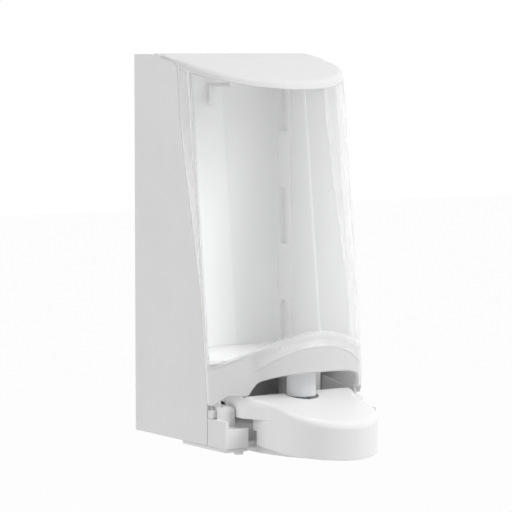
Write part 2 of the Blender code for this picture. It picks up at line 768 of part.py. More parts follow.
def pan_outline(half_width, length):
    """Half an ellipse in front of the pan's centre, as (x, y), closed behind it."""
    points = []
    steps = ROUND_SEGMENTS
    for i in range(steps + 1):
        angle = math.pi * i / steps
        points.append((half_width * math.cos(angle), -(PAN_CENTRE_DEPTH + length * math.sin(angle))))
    return points


def make_bottom_plate():
    """Flat plate under the chassis, running forward as a shallow pan under the lever."""
    edge = HALF - PLATE_MARGIN
    low = (-edge, -(CHASSIS_FRONT_DEPTH - PLATE_MARGIN), -FIT - PLATE_THICKNESS)
    plate = box("bottom_plate", low, (edge, -PLATE_BACK_DEPTH, -FIT), parts)
    notch_back = -(FLOOR_FRONT_DEPTH - PLATE_MARGIN)
    cut(plate, box("lever_room", (-BLOCK_INNER_X, -FAR, -FAR), (BLOCK_INNER_X, notch_back, FAR)))
    solid = prism("pan", pan_outline(PAN_HALF_WIDTH, PAN_LENGTH), PAN_FLOOR_Z, PAN_RIM_Z)
    room = prism(
        "pan_room",
        pan_outline(PAN_HALF_WIDTH - PAN_WALL, PAN_LENGTH - PAN_WALL),
        PAN_FLOOR_Z + PAN_WALL,
        FAR,
    )
    cut(solid, room)
    low = (-FAR, -FLOOR_FRONT_DEPTH - FIT, -FIT)
    cut(solid, box("chassis_room", low, (FAR, FAR, FAR)))
    join(plate, solid)
    cut(plate, rod("spout_hole", PAN_HOLE_RADIUS, (0.0, -PUMP_DEPTH, -FAR), (0.0, -PUMP_DEPTH, FAR)))
    for side_name, side in both_sides():
        start = (side * PLATE_SCREW_X, -PLATE_SCREW_DEPTH, -FAR)
        end = (side * PLATE_SCREW_X, -PLATE_SCREW_DEPTH, FAR)
        cut(plate, rod(f"plate_bore_{side_name}", SCREW_RADIUS + FIT, start, end))
    return dress(plate, white_body())


def lever_top_z(depth):
    return LEVER_TOP_Z - LEVER_TOP_SLOPE * (depth - LEVER_GAUGE_DEPTH)


def lever_skirt_z(depth):
    return LEVER_SKIRT_Z - LEVER_SKIRT_SLOPE * (depth - LEVER_GAUGE_DEPTH)


def lever_outline(inset=0.0, shoulder=SHOULDER_HALF_WIDTH):
    """The lever in plan, as (x, y): wide shoulders that blend into a round-nosed tongue."""
    half = LEVER_HALF_WIDTH - inset
    wide = shoulder - inset
    right = [(wide, -SHOULDER_BACK_DEPTH), (wide, -SHOULDER_FRONT_DEPTH)]
    steps = SHOULDER_STEPS
    for i in range(1, steps + 1):
        share = i / steps
        x = half + (wide - half) * (1.0 + math.cos(math.pi * share)) / 2
        right.append((x, -(SHOULDER_FRONT_DEPTH + SHOULDER_BLEND * share)))
    cap = LEVER_CAP_LENGTH
    cap_back = LEVER_LENGTH - cap
    power = 2.0 / LEVER_CAP_POWER
    for i in range(ROUND_SEGMENTS // 2 + 1):
        angle = math.pi * i / ROUND_SEGMENTS
        x = half * max(math.cos(angle), 0.0) ** power
        right.append((x, -(cap_back + (cap - inset) * math.sin(angle) ** power)))
    right[-1] = (0.0, right[-1][1])
    return right + [(-x, y) for x, y in reversed(right[:-1])]


def lever_form():
    """The lever's outer form between its skirt line and its sloping top."""
    outline = lever_outline()
    lower = [(x, y, lever_skirt_z(-y)) for x, y in outline]
    upper = [(x, y, lever_top_z(-y)) for x, y in outline]
    return loft("push_lever", [lower, upper], parts)


def lever_hollow():
    """The room inside the tongue, open below. The shoulders stay solid in front of the arms."""
    outline = lever_outline(LEVER_WALL, LEVER_HALF_WIDTH)
    lower = [(x, y, BELOW) for x, y in outline]
    upper = [(x, y, lever_top_z(-y) - LEVER_WALL) for x, y in outline]
    return loft("lever_hollow", [lower, upper])


def under_shoulder():
    """What is cut away under the lever's shoulders and behind its skirt, seen from the side."""
    return [
        (0.0, BELOW),
        (0.0, SHOULDER_Z),
        (-SKIRT_STEP_DEPTH, SHOULDER_Z),
        (-SKIRT_STEP_DEPTH, SKIRT_STEP_Z),
        (-SKIRT_BACK_DEPTH, SKIRT_STEP_Z),
        (-SKIRT_BACK_DEPTH, BELOW),
    ]


def beside_skirt():
    """What is cut away beside the tongue, where the shoulders pass over the chassis blocks."""
    front = SHOULDER_FRONT_DEPTH + SHOULDER_BLEND
    return [(0.0, BELOW), (0.0, SHOULDER_Z), (-front, SHOULDER_Z), (-front, BELOW)]


def make_lever():
    """Hollow tongue pressed by the palm, with two arms on the pivot pins."""
    lever = lever_form()
    cut(lever, prism("under_shoulder", under_shoulder(), -FAR, FAR, "X"))
    for side_name, side in both_sides():
        near, far = sorted((side * (LEVER_HALF_WIDTH + FIT), side * FAR))
        cut(lever, prism(f"beside_skirt_{side_name}", beside_skirt(), near, far, "X"))
    cut(lever, lever_hollow())
    arm_room = SHOULDER_HALF_WIDTH - LEVER_WALL
    low = (-arm_room, -LEVER_TOP_BACK_DEPTH, -FAR)
    cut(lever, box("between_arms", low, (arm_room, FAR, FAR)))
    aperture = rod(
        "pump_aperture",
        LEVER_APERTURE_RADIUS,
        (0.0, -PUMP_DEPTH, lever_top_z(PUMP_DEPTH) - 3 * LEVER_WALL),
        (0.0, -PUMP_DEPTH, HEIGHT),
    )
    cut(lever, aperture)
    for side_name, side in both_sides():
        near, far = sorted((side * (arm_room - LEVER_WALL), side * SHOULDER_HALF_WIDTH))
        hub = rod(
            f"hub_{side_name}",
            LEVER_PIN_RADIUS + LEVER_WALL,
            (near, -PIVOT_DEPTH, PIVOT_Z),
            (far, -PIVOT_DEPTH, PIVOT_Z),
        )
        join(lever, hub)
    start = (-FAR, -PIVOT_DEPTH, PIVOT_Z)
    end = (FAR, -PIVOT_DEPTH, PIVOT_Z)
    cut(lever, rod("lever_bore", LEVER_PIN_RADIUS + FIT, start, end))
    dress(lever, white_lever())
    set_origin(lever, (0.0, -PIVOT_DEPTH, PIVOT_Z))
    return lever


def lever_pin_inner_x():
    return SHOULDER_HALF_WIDTH - 2 * LEVER_WALL - FIT


def lever_pin_outer_x():
    return lever_pin_inner_x() + LEVER_PIN_LENGTH


def make_pins():
    steel = bright_steel()
    for side_name, side in both_sides():
        start = (side * lever_pin_inner_x(), -PIVOT_DEPTH, PIVOT_Z)
        end = (side * lever_pin_outer_x(), -PIVOT_DEPTH, PIVOT_Z)
        dress(rod(f"lever_pin_{side_name}", LEVER_PIN_RADIUS, start, end, parts), steel)
        outer = INNER_HALF + HINGE_PIN_SEAT
        start = (side * (outer - HINGE_PIN_LENGTH), -HINGE_DEPTH, HINGE_Z)
        end = (side * outer, -HINGE_DEPTH, HINGE_Z)
        dress(rod(f"hinge_pin_{side_name}", HINGE_PIN_RADIUS, start, end, parts), steel)


def make_shelf():
    """Level plate that carries the refill, with a tongue for the pump neck."""
    half = INNER_HALF - FIT
    tongue = SHELF_TONGUE_HALF_WIDTH
    front = PUMP_DEPTH + SHELF_TONGUE_OVERHANG
    nose = arc((0.0, -(front - tongue)), tongue, 0.0, -math.pi, 12)
    outline = [(half, -RAIL_DEPTH - FIT), (half, -SHELF_BODY_DEPTH), (tongue, -SHELF_BODY_DEPTH - WALL)]
    outline += nose
    outline += [(-tongue, -SHELF_BODY_DEPTH - WALL), (-half, -SHELF_BODY_DEPTH), (-half, -RAIL_DEPTH - FIT)]
    rail_room = INNER_HALF - RAIL_THICKNESS - FIT
    outline += [(-rail_room, -RAIL_DEPTH - FIT), (-rail_room, -WALL - FIT)]
    outline += [(rail_room, -WALL - FIT), (rail_room, -RAIL_DEPTH - FIT)]
    shelf = prism("refill_shelf", outline, SHELF_TOP - SHELF_THICKNESS, SHELF_TOP, "Z", parts)
    cut(shelf, rod("neck_hole", BARREL_RADIUS + FIT, (0.0, -PUMP_DEPTH, 0.0), (0.0, -PUMP_DEPTH, HEIGHT)))
    for side_name, side in both_sides():
        x = side * POST_X
        for i, depth in enumerate(POST_DEPTHS):
            name = f"shelf_bore_{side_name}_{i + 1}"
            cut(shelf, rod(name, SCREW_RADIUS + FIT, (x, -depth, 0.0), (x, -depth, HEIGHT)))
    return dress(shelf, white_body())


def make_barrel():
    """Pump barrel hanging through the shelf by its flange."""
    bore = BARREL_RADIUS - BARREL_WALL
    flange_low = SHELF_TOP + FIT
    flange_high = flange_low + BARREL_FLANGE_THICKNESS
    foot = BARREL_FOOT_Z
    profile = [
        (BARREL_RADIUS, BARREL_TOP_Z),
        (BARREL_RADIUS, flange_high),
        (BARREL_FLANGE_RADIUS, flange_high),
        (BARREL_FLANGE_RADIUS, flange_low),
        (BARREL_RADIUS, flange_low),
        (BARREL_RADIUS, foot),
        (STEM_RADIUS + FIT, foot),
        (STEM_RADIUS + FIT, foot + BARREL_FOOT_THICKNESS),
        (bore, foot + BARREL_FOOT_THICKNESS),
        (bore, BARREL_TOP_Z),
    ]
    return dress(turned("pump_barrel", profile), pale_pump())


def make_collar():
    """Ring on the barrel's flange that the refill's neck snaps into."""
    low = SHELF_TOP + 2 * FIT + BARREL_FLANGE_THICKNESS
    high = low + COLLAR_HEIGHT
    inner = BARREL_RADIUS + FIT
    chamfer = COLLAR_WALL / 5
    profile = [
        (inner + COLLAR_WALL - chamfer, high),
        (inner + COLLAR_WALL, high - chamfer),
        (inner + COLLAR_WALL, low),
        (inner, low),
        (inner, high),
    ]
    return dress(turned("neck_collar", profile), white_body())


def piston_flange_top():
    """Just under the front edge of the lever's aperture."""
    front = PUMP_DEPTH + LEVER_APERTURE_RADIUS
    reach = PUMP_DEPTH + PISTON_FLANGE_RADIUS
    return min(lever_top_z(front), lever_top_z(reach)) - LEVER_WALL - FIT


def piston_head_low():
    """Bottom of the piston head at rest: its stroke above the closed spring."""
    closed_spring = 2 * SPRING_WIRE_RADIUS * (SPRING_TURNS + 1)
    return BARREL_FOOT_Z + BARREL_FOOT_THICKNESS + closed_spring + PISTON_STROKE + 2 * FIT


def make_piston():
    """Hollow stem with the head that pushes the soap and the flange that the lever presses."""
    top = piston_flange_top()
    low = top - PISTON_FLANGE_THICKNESS
    head_low = piston_head_low()
    head_high = head_low + PISTON_HEAD_HEIGHT
    bore = BARREL_RADIUS - BARREL_WALL
    groove = bore - SEAL_WIDTH - FIT
    middle = (head_low + head_high) / 2
    half_seal = SEAL_THICKNESS / 2 + FIT
    profile = [
        (bore - PLAY, head_high),
        (bore - PLAY, middle + half_seal),
        (groove - FIT, middle + half_seal),
        (groove - FIT, middle - half_seal),
        (bore - PLAY, middle - half_seal),
        (bore - PLAY, head_low),
        (STEM_RADIUS, head_low),
        (STEM_RADIUS, top),
        (PISTON_FLANGE_RADIUS, top),
        (PISTON_FLANGE_RADIUS, low),
        (STEM_RADIUS, low),
        (STEM_RADIUS, low - PISTON_FLANGE_THICKNESS),
        (STEM_BORE_RADIUS, low - PISTON_FLANGE_THICKNESS),
        (STEM_BORE_RADIUS, head_high),
    ]
    return dress(turned("pump_piston", profile), pale_pump())


def make_seal():
    """Rubber ring in the piston head's groove."""
    bore = BARREL_RADIUS - BARREL_WALL
    middle = piston_head_low() + PISTON_HEAD_HEIGHT / 2
    high, low = middle + SEAL_THICKNESS / 2, middle - SEAL_THICKNESS / 2
    inner, outer = bore - SEAL_WIDTH - FIT, bore - FIT
    profile = [(outer, high), (outer, low), (inner, low), (inner, high)]
    return dress(turned("pump_seal", profile), soft_rubber())


def make_nozzle():
    """Tapered spout plugged onto the stem under the flange."""
    top = piston_flange_top() - PISTON_FLANGE_THICKNESS - FIT
    socket_low = top - PISTON_FLANGE_THICKNESS - FIT
    tip = NOZZLE_TIP_Z
    valve_room = tip + VALVE_HEIGHT + 2 * FIT
    profile = [
        (NOZZLE_TOP_RADIUS, top),
        (NOZZLE_TOP_RADIUS, socket_low - PISTON_FLANGE_THICKNESS),
        (NOZZLE_TIP_RADIUS, tip),
        (NOZZLE_BORE_RADIUS, tip),
        (NOZZLE_BORE_RADIUS, valve_room),
        (STEM_BORE_RADIUS, valve_room + FIT),
        (STEM_BORE_RADIUS, socket_low),
        (STEM_RADIUS + FIT, socket_low),
        (STEM_RADIUS + FIT, top),
    ]
    return dress(turned("outlet_nozzle", profile), pale_pump())


def make_valve():
    """Soft anti-drip valve in the nozzle's tip."""
    outer = NOZZLE_BORE_RADIUS - FIT
    low = NOZZLE_TIP_Z + FIT
    high = low + VALVE_HEIGHT
    slit = VALVE_SLIT_RADIUS
    profile = [(outer, high), (outer, low + FIT), (outer - FIT, low), (slit, low), (slit, high)]
    return dress(turned("anti_drip_valve", profile), soft_rubber())


def coil(name, radius, wire, start, end, turns):
    """A compression spring of round wire between two points."""
    start, end = Vector(start), Vector(end)
    length = (end - start).length - 2 * wire
    count = turns * TURN_STEPS + 1
    curve = bpy.data.curves.new(name, "CURVE")
    curve.dimensions = "3D"
    curve.bevel_depth = wire
    curve.bevel_resolution = 1
    curve.use_fill_caps = True
    spline = curve.splines.new("POLY")
    spline.points.add(count - 1)
    for i, point in enumerate(spline.points):
        angle = 2 * math.pi * i / TURN_STEPS
        z = wire + length * i / (count - 1)
        point.co = (radius * math.cos(angle), radius * math.sin(angle), z, 1.0)
    obj = place(bpy.data.objects.new(name, curve), parts)
    obj.location = start
    obj.rotation_euler = (end - start).to_track_quat("Z", "Y").to_euler()
    return as_mesh(obj, parts)


def make_springs():
    steel = bright_steel()
    low = BARREL_FOOT_Z + BARREL_FOOT_THICKNESS + FIT
    high = piston_head_low() - FIT
    radius = (STEM_RADIUS + BARREL_RADIUS - BARREL_WALL) / 2
    start = (0.0, -PUMP_DEPTH, low)
    end = (0.0, -PUMP_DEPTH, high)
    dress(coil("pump_spring", radius, SPRING_WIRE_RADIUS, start, end, SPRING_TURNS), steel)
    for side_name, side in both_sides():
        start = (side * (POCKET_BACK_X + FIT), -BUTTON_DEPTH, BUTTON_Z)
        end = (side * (BUTTON_BACK_X - FIT), -BUTTON_DEPTH, BUTTON_Z)
        name = f"latch_spring_{side_name}"
        dress(coil(name, LATCH_SPRING_RADIUS, LATCH_WIRE_RADIUS, start, end, LATCH_SPRING_TURNS), steel)


def make_latches():
    """Side buttons whose arms stand beside the cover's catches."""
    plastic = white_body()
    half_length = BUTTON_LENGTH / 2
    half_height = BUTTON_HEIGHT / 2
    for side_name, side in both_sides():
        low = (BUTTON_BACK_X, -(BUTTON_DEPTH + half_length), BUTTON_Z - half_height)
        high = (HALF + BUTTON_PROUD, -(BUTTON_DEPTH - half_length), BUTTON_Z + half_height)
        near, far = sorted((side * low[0], side * high[0]))
        button = box(f"latch_button_{side_name}", (near, *low[1:]), (far, *high[1:]), parts)
        catch_front = -panel_foot_depth() - 3 * FIT - CATCH_THICKNESS
        arm_low = (latch_arm_x() - LATCH_ARM_THICKNESS, low[1], BUTTON_Z)
        arm_high = (latch_arm_x(), catch_front, LATCH_ARM_TOP_Z)
        join(button, mirrored_box(f"latch_arm_{side_name}", arm_low, arm_high, side))
        dress(button, plastic)


def make_hanger():
    """Hook on the back plate that holds up the refill bag."""
    half = HANGER_WIDTH / 2
    back = -WALL - FIT
    tip_low = (-half, -HANGER_REACH, HANGER_Z)
    arm = box("bag_hanger", tip_low, (half, back, HANGER_Z + HANGER_THICKNESS), parts)
    tip_high = (half, -(HANGER_REACH - HANGER_THICKNESS), HANGER_Z + HANGER_THICKNESS + HANGER_TIP)
    foot_low = (-half, back - HANGER_THICKNESS, HANGER_Z + HANGER_THICKNESS - HANGER_FOOT_HEIGHT)
    join(arm, box("hanger_tip", tip_low, tip_high))
    join(arm, box("hanger_foot", foot_low, (half, back, HANGER_Z + HANGER_THICKNESS)))
    return dress(arm, white_body())


def screw(name, x, depth, head_z, up=True):
    """A cap screw whose head's seat is at head_z and whose shank goes up or down."""
    way = 1.0 if up else -1.0
    outer = head_z - way * SCREW_HEAD_THICKNESS
    socket = outer + way * SCREW_SOCKET_DEPTH
    tip = head_z + way * (SCREW_LENGTH - PLATE_THICKNESS)
    profile = [
        (0.0, tip),
        (SCREW_RADIUS, tip - way * SCREW_RADIUS / 2),
        (SCREW_RADIUS, head_z),
        (SCREW_HEAD_RADIUS, head_z),
        (SCREW_HEAD_RADIUS, outer),
        (SCREW_SOCKET_RADIUS, outer),
        (SCREW_SOCKET_RADIUS, socket),
        (0.0, socket),
    ]
    if not up:
        profile = profile[::-1]
    return dress(turned(name, profile, x, depth, SCREW_SEGMENTS, closed=False), bright_steel())


def make_screws():
    """Chassis to housing, bottom plate to chassis, and shelf to posts."""
    for side_name, side in both_sides():
        screw(f"chassis_screw_{side_name}", side * CHASSIS_SCREW_X, CHASSIS_SCREW_DEPTH, -FIT)
        plate_seat = -2 * FIT - PLATE_THICKNESS
        screw(f"plate_screw_{side_name}", side * PLATE_SCREW_X, PLATE_SCREW_DEPTH, plate_seat)
        for i, depth in enumerate(POST_DEPTHS):
            screw(f"shelf_screw_{side_name}_{i + 1}", side * POST_X, depth, SHELF_TOP + FIT, up=False)


def main():
    clear_scene()
    make_housing()
    make_chassis()
    make_bottom_plate()
    make_shelf()
    make_hanger()
    make_cover()
    make_lever()
    make_pins()
    make_barrel()
    make_collar()
    make_piston()
    make_seal()
    make_nozzle()
    make_valve()
    make_springs()
    make_latches()
    make_screws()


main()
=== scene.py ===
"""Wall-mounted push-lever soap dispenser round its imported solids. Metres, +Z up, the wall at Y = 0."""

import logging
import math
from dataclasses import dataclass
from enum import Enum
from typing import Callable, Sequence

import bmesh
import bpy
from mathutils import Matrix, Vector


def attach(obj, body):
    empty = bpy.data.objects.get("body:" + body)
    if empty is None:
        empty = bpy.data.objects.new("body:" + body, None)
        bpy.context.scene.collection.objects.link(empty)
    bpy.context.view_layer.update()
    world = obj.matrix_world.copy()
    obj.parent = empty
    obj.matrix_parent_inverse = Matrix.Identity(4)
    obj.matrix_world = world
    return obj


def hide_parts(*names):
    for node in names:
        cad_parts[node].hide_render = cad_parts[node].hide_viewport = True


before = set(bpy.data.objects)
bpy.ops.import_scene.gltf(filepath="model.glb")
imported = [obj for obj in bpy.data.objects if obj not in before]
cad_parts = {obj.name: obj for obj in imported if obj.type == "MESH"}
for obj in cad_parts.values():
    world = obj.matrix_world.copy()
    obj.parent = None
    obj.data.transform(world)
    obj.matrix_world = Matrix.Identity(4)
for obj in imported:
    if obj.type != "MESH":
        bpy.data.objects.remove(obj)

logging.basicConfig(level=logging.INFO, format="%(name)s: %(message)s")
LOG = logging.getLogger("dispenser")

MM = 0.001
MILK = "milk"
PLASTIC_IOR = 1.49
WHITE = (1.0, 1.0, 1.0, 1.0)
BEVEL_STEPS = 3
SETTLING_STEPS = 12
SQUARE = ((-1.0, -1.0), (1.0, -1.0), (1.0, 1.0), (-1.0, 1.0))
WELD = 0.005 * MM
FLAT = math.radians(1.0)
EDGE_POINTS = 5
FOOT_ROWS = 3
HAIR = 0.05
FAR = 100.0

Material = bpy.types.Material
Node = bpy.types.Node
Piece = bpy.types.Object
Socket = bpy.types.NodeSocket
Tree = bpy.types.NodeTree
Point2 = tuple[float, float]
Point3 = tuple[float, float, float]


class Body(Enum):
    """The moving groups of the dispenser."""

    HOUSING = "body"
    COVER = "cover"
    LEVER = "lever"
    PLUNGER = "plunger"
    LEFT_BUTTON = "left_button"
    RIGHT_BUTTON = "right_button"


class Slot(Enum):
    """The finishes that the record names."""

    WHITE = "white_body_plastic"
    LEVER = "white_lever_plastic"
    CLEAR = "clear_cover_plastic"
    PUMP = "pale_pump_plastic"
    RUBBER = "soft_rubber"
    STEEL = "bright_steel"


class Side(Enum):
    """Left and right as the photograph's viewer has them, with the sign of X."""

    LEFT = -1.0
    RIGHT = 1.0

    @property
    def label(self) -> str:
        """The side's name in piece names."""
        return self.name.lower()

    def span(self, inner: float, outer: float) -> Point2:
        """Lowest and highest X between two distances from the middle."""
        near, far = sorted((self.value * inner, self.value * outer))
        return near, far


@dataclass(frozen=True)
class Grain:
    """One layer of unevenness, as noise over the piece's own coordinates.

    Attributes:
        scale: Cells per metre.
        detail: Octaves.
        strength: How strongly it turns the light, where it is a relief.
        depth: Depth of the relief in metres.
        stretch: Scale along each axis, for a drawn or brushed grain.
        roughness: How much of the finer octaves comes in.
        reach: The noise's usual lowest and highest value.
    """

    scale: float
    detail: float
    strength: float = 0.0
    depth: float = 0.0
    stretch: Point3 = (1.0, 1.0, 1.0)
    roughness: float = 0.55
    reach: Point2 = (0.3, 0.7)

    def noise(self, tree: Tree) -> Socket:
        """The layer's height at each place.

        Args:
            tree: The nodes that get it.

        Returns:
            The height, from 0 to 1.
        """
        place = add_node(tree, "ShaderNodeTexCoord")
        mapping = add_node(tree, "ShaderNodeMapping", Scale=self.stretch)
        cells = add_node(
            tree, "ShaderNodeTexNoise", Scale=self.scale, Detail=self.detail, Roughness=self.roughness
        )
        wire(tree, place.outputs["Object"], mapping.inputs["Vector"])
        wire(tree, mapping.outputs["Vector"], cells.inputs["Vector"])
        return cells.outputs["Fac"]

    def spread(self, tree: Tree, low: float = 0.0, high: float = 1.0) -> Socket:
        """The usual reach of the noise, mapped onto a range.

        Args:
            tree: The nodes that get it.
            low: Result at the noise's low end.
            high: Result at its high end.

        Returns:
            The mapped value.
        """
        return map_range(tree, self.noise(tree), self.reach, (low, high))


FLOW_WAVES = Grain(scale=22.0, detail=2.0, strength=0.25, depth=0.00006)
SPARK_GRAIN = Grain(scale=2600.0, detail=2.0, strength=0.35, depth=0.00002)
SMOOTHER_GRAIN = Grain(scale=2600.0, detail=2.0, strength=0.35, depth=0.000012)
GLOSS_CLOUDS = Grain(scale=90.0, detail=4.0)
TACKY_GRAIN = Grain(scale=1800.0, detail=3.0, strength=0.4, depth=0.00003)
DRAWN_LINES = Grain(scale=900.0, detail=3.0, strength=0.2, depth=0.00001, stretch=(6.0, 1.0, 1.0))
FROST_CLOUDS = Grain(scale=160.0, detail=4.0)
WALL_RIPPLE = Grain(scale=16.0, detail=1.0, strength=0.10, depth=0.00012, stretch=(1.0, 1.0, 0.35))
FROST_GRAIN = Grain(scale=2200.0, detail=2.0, strength=0.04, depth=0.00002)


def new_material(name: str) -> tuple[Material, Tree, Node]:
    """Start a material.

    Args:
        name: The material's name.

    Returns:
        The material, its nodes and its main shader.
    """
    made = bpy.data.materials.new(name)
    made.use_nodes = True
    return made, made.node_tree, made.node_tree.nodes["Principled BSDF"]


def fill(node: Node, **inputs: object) -> None:
    """Give sockets of a node their values, each by the socket's name with _ for a space."""
    for name, value in inputs.items():
        node.inputs[name.replace("_", " ")].default_value = value


def add_node(tree: Tree, kind: str, **inputs: object) -> Node:
    """Add one node and fill its sockets.

    Args:
        tree: The nodes that it joins.
        kind: The node's type.
        **inputs: Socket values, the socket's name with _ for a space.

    Returns:
        The new node.
    """
    node = tree.nodes.new(kind)
    fill(node, **inputs)
    return node


def wire(tree: Tree, source: Socket | float | Sequence[float], target: Socket) -> None:
    """Feed a socket from another one or give it a constant.

    Args:
        tree: The nodes that both belong to.
        source: The socket or value that feeds it.
        target: The socket that is fed.
    """
    if isinstance(source, Socket):
        tree.links.new(source, target)
    else:
        target.default_value = source


def calculate(
    tree: Tree, operation: str, first: Socket, second: Socket | float, clamped: bool = False
) -> Socket:
    """Work out one value from two.

    Args:
        tree: The nodes that get it.
        operation: What is done with them.
        first: The first value.
        second: The second value.
        clamped: Whether the result stays between 0 and 1.

    Returns:
        The result.
    """
    node = add_node(tree, "ShaderNodeMath")
    node.operation = operation
    node.use_clamp = clamped
    wire(tree, first, node.inputs[0])
    wire(tree, second, node.inputs[1])
    return node.outputs["Value"]


def map_range(tree: Tree, value: Socket, start: Point2, end: Point2 = (0.0, 1.0)) -> Socket:
    """Map a value from one range onto another, clamped at both ends.

    Args:
        tree: The nodes that get it.
        value: The value.
        start: The range's ends.
        end: The results at those two.

    Returns:
        The mapped value.
    """
    node = add_node(tree, "ShaderNodeMapRange", From_Min=start[0], From_Max=start[1])
    fill(node, To_Min=end[0], To_Max=end[1])
    wire(tree, value, node.inputs["Value"])
    return node.outputs["Result"]


def blend_colours(tree: Tree, factor: Socket, first: Socket | Point3, second: Point3) -> Socket:
    """Mix two colours by a factor.

    Args:
        tree: The nodes that get it.
        factor: 0 for the first colour, 1 for the second.
        first: The first colour, linear.
        second: The second colour, linear.

    Returns:
        The mixed colour.
    """
    node = add_node(tree, "ShaderNodeMix")
    node.data_type = "RGBA"
    share, base, top = node.inputs[0], node.inputs[6], node.inputs[7]
    wire(tree, factor, share)
    wire(tree, first if isinstance(first, Socket) else (*first, 1.0), base)
    wire(tree, (*second, 1.0), top)
    return node.outputs[2]


def mix_shaders(tree: Tree, factor: Socket, first: Node, second: Node, output: Node) -> None:
    """Send a mix of two shaders to an output.

    Args:
        tree: The nodes that get it.
        factor: 0 for the first shader, 1 for the second.
        first: The first shader.
        second: The second shader.
        output: The output node.
    """
    mixed = add_node(tree, "ShaderNodeMixShader")
    for source, target in zip((factor, first.outputs[0], second.outputs[0]), mixed.inputs):
        wire(tree, source, target)
    wire(tree, mixed.outputs["Shader"], output.inputs["Surface"])


def bumps(tree: Tree, shader: Node, layers: Sequence[Grain]) -> None:
    """Stack reliefs onto a shader's normal.

    Args:
        tree: The nodes that get them.
        shader: The shader.
        layers: The reliefs, the finest last.
    """
    below = None
    for layer in layers:
        bump = add_node(tree, "ShaderNodeBump", Strength=layer.strength, Distance=layer.depth)
        wire(tree, layer.noise(tree), bump.inputs["Height"])
        if below is not None:
            wire(tree, below, bump.inputs["Normal"])
        below = bump.outputs["Normal"]
    wire(tree, below, shader.inputs["Normal"])


@dataclass(frozen=True)
class Finish:
    """An opaque finish whose tone drifts a little and whose gloss changes from place to place.

    Attributes:
        slot: The record's finish that it stands for.
        colour: Base colour, linear.
        shade: The slightly darker tone that it drifts to.
        gloss: Lowest and highest roughness.
        drift: Where the tone changes.
        clouds: Where the gloss changes.
        relief: Layers of relief, the finest last.
        ior: Index of refraction of the surface.
        metallic: 1 for bare metal.
        soak: Share of light that scatters below the surface.
        soak_depth: How far it scatters, in metres.
    """

    slot: Slot
    colour: Point3
    shade: Point3
    gloss: Point2
    drift: Grain
    clouds: Grain
    relief: tuple[Grain, ...]
    ior: float = 1.5
    metallic: float = 0.0
    soak: float = 0.0
    soak_depth: float = 1.2 * MM

    def build(self) -> Material:
        """Make the material.

        Returns:
            The material.
        """
        made, tree, shader = new_material(self.slot.value)
        fill(shader, IOR=self.ior, Metallic=self.metallic)
        if self.soak:
            fill(shader, Subsurface_Weight=self.soak, Subsurface_Scale=self.soak_depth)
            fill(shader, Subsurface_Radius=(1.0, 1.0, 1.0))
        tone = blend_colours(tree, self.drift.spread(tree), self.colour, self.shade)
        wire(tree, tone, shader.inputs["Base Color"])
        wire(tree, self.clouds.spread(tree, *self.gloss), shader.inputs["Roughness"])
        bumps(tree, shader, self.relief)
        return made


@dataclass(frozen=True)
class MouldedPlastic(Finish):
    """Opaque injection-moulded plastic with a fine spark-eroded grain and slow shade changes."""

    gloss: Point2 = (0.32, 0.42)
    drift: Grain = FLOW_WAVES
    clouds: Grain = GLOSS_CLOUDS
    relief: tuple[Grain, ...] = (FLOW_WAVES, SPARK_GRAIN)
    ior: float = PLASTIC_IOR


@dataclass(frozen=True)
class SoftRubber(Finish):
    """Matte rubber with a fine tacky grain."""

    slot: Slot = Slot.RUBBER
    colour: Point3 = (0.20, 0.21, 0.22)
    shade: Point3 = (0.26, 0.27, 0.28)
    gloss: Point2 = (0.62, 0.78)
    drift: Grain = TACKY_GRAIN
    clouds: Grain = TACKY_GRAIN
    relief: tuple[Grain, ...] = (TACKY_GRAIN,)


@dataclass(frozen=True)
class BrightSteel(Finish):
    """Drawn stainless wire and turned pins, with fine lines round them."""

    slot: Slot = Slot.STEEL
    colour: Point3 = (0.62, 0.62, 0.60)
    shade: Point3 = (0.50, 0.50, 0.49)
    gloss: Point2 = (0.28, 0.38)
    drift: Grain = DRAWN_LINES
    clouds: Grain = DRAWN_LINES
    relief: tuple[Grain, ...] = (DRAWN_LINES,)
    metallic: float = 1.0


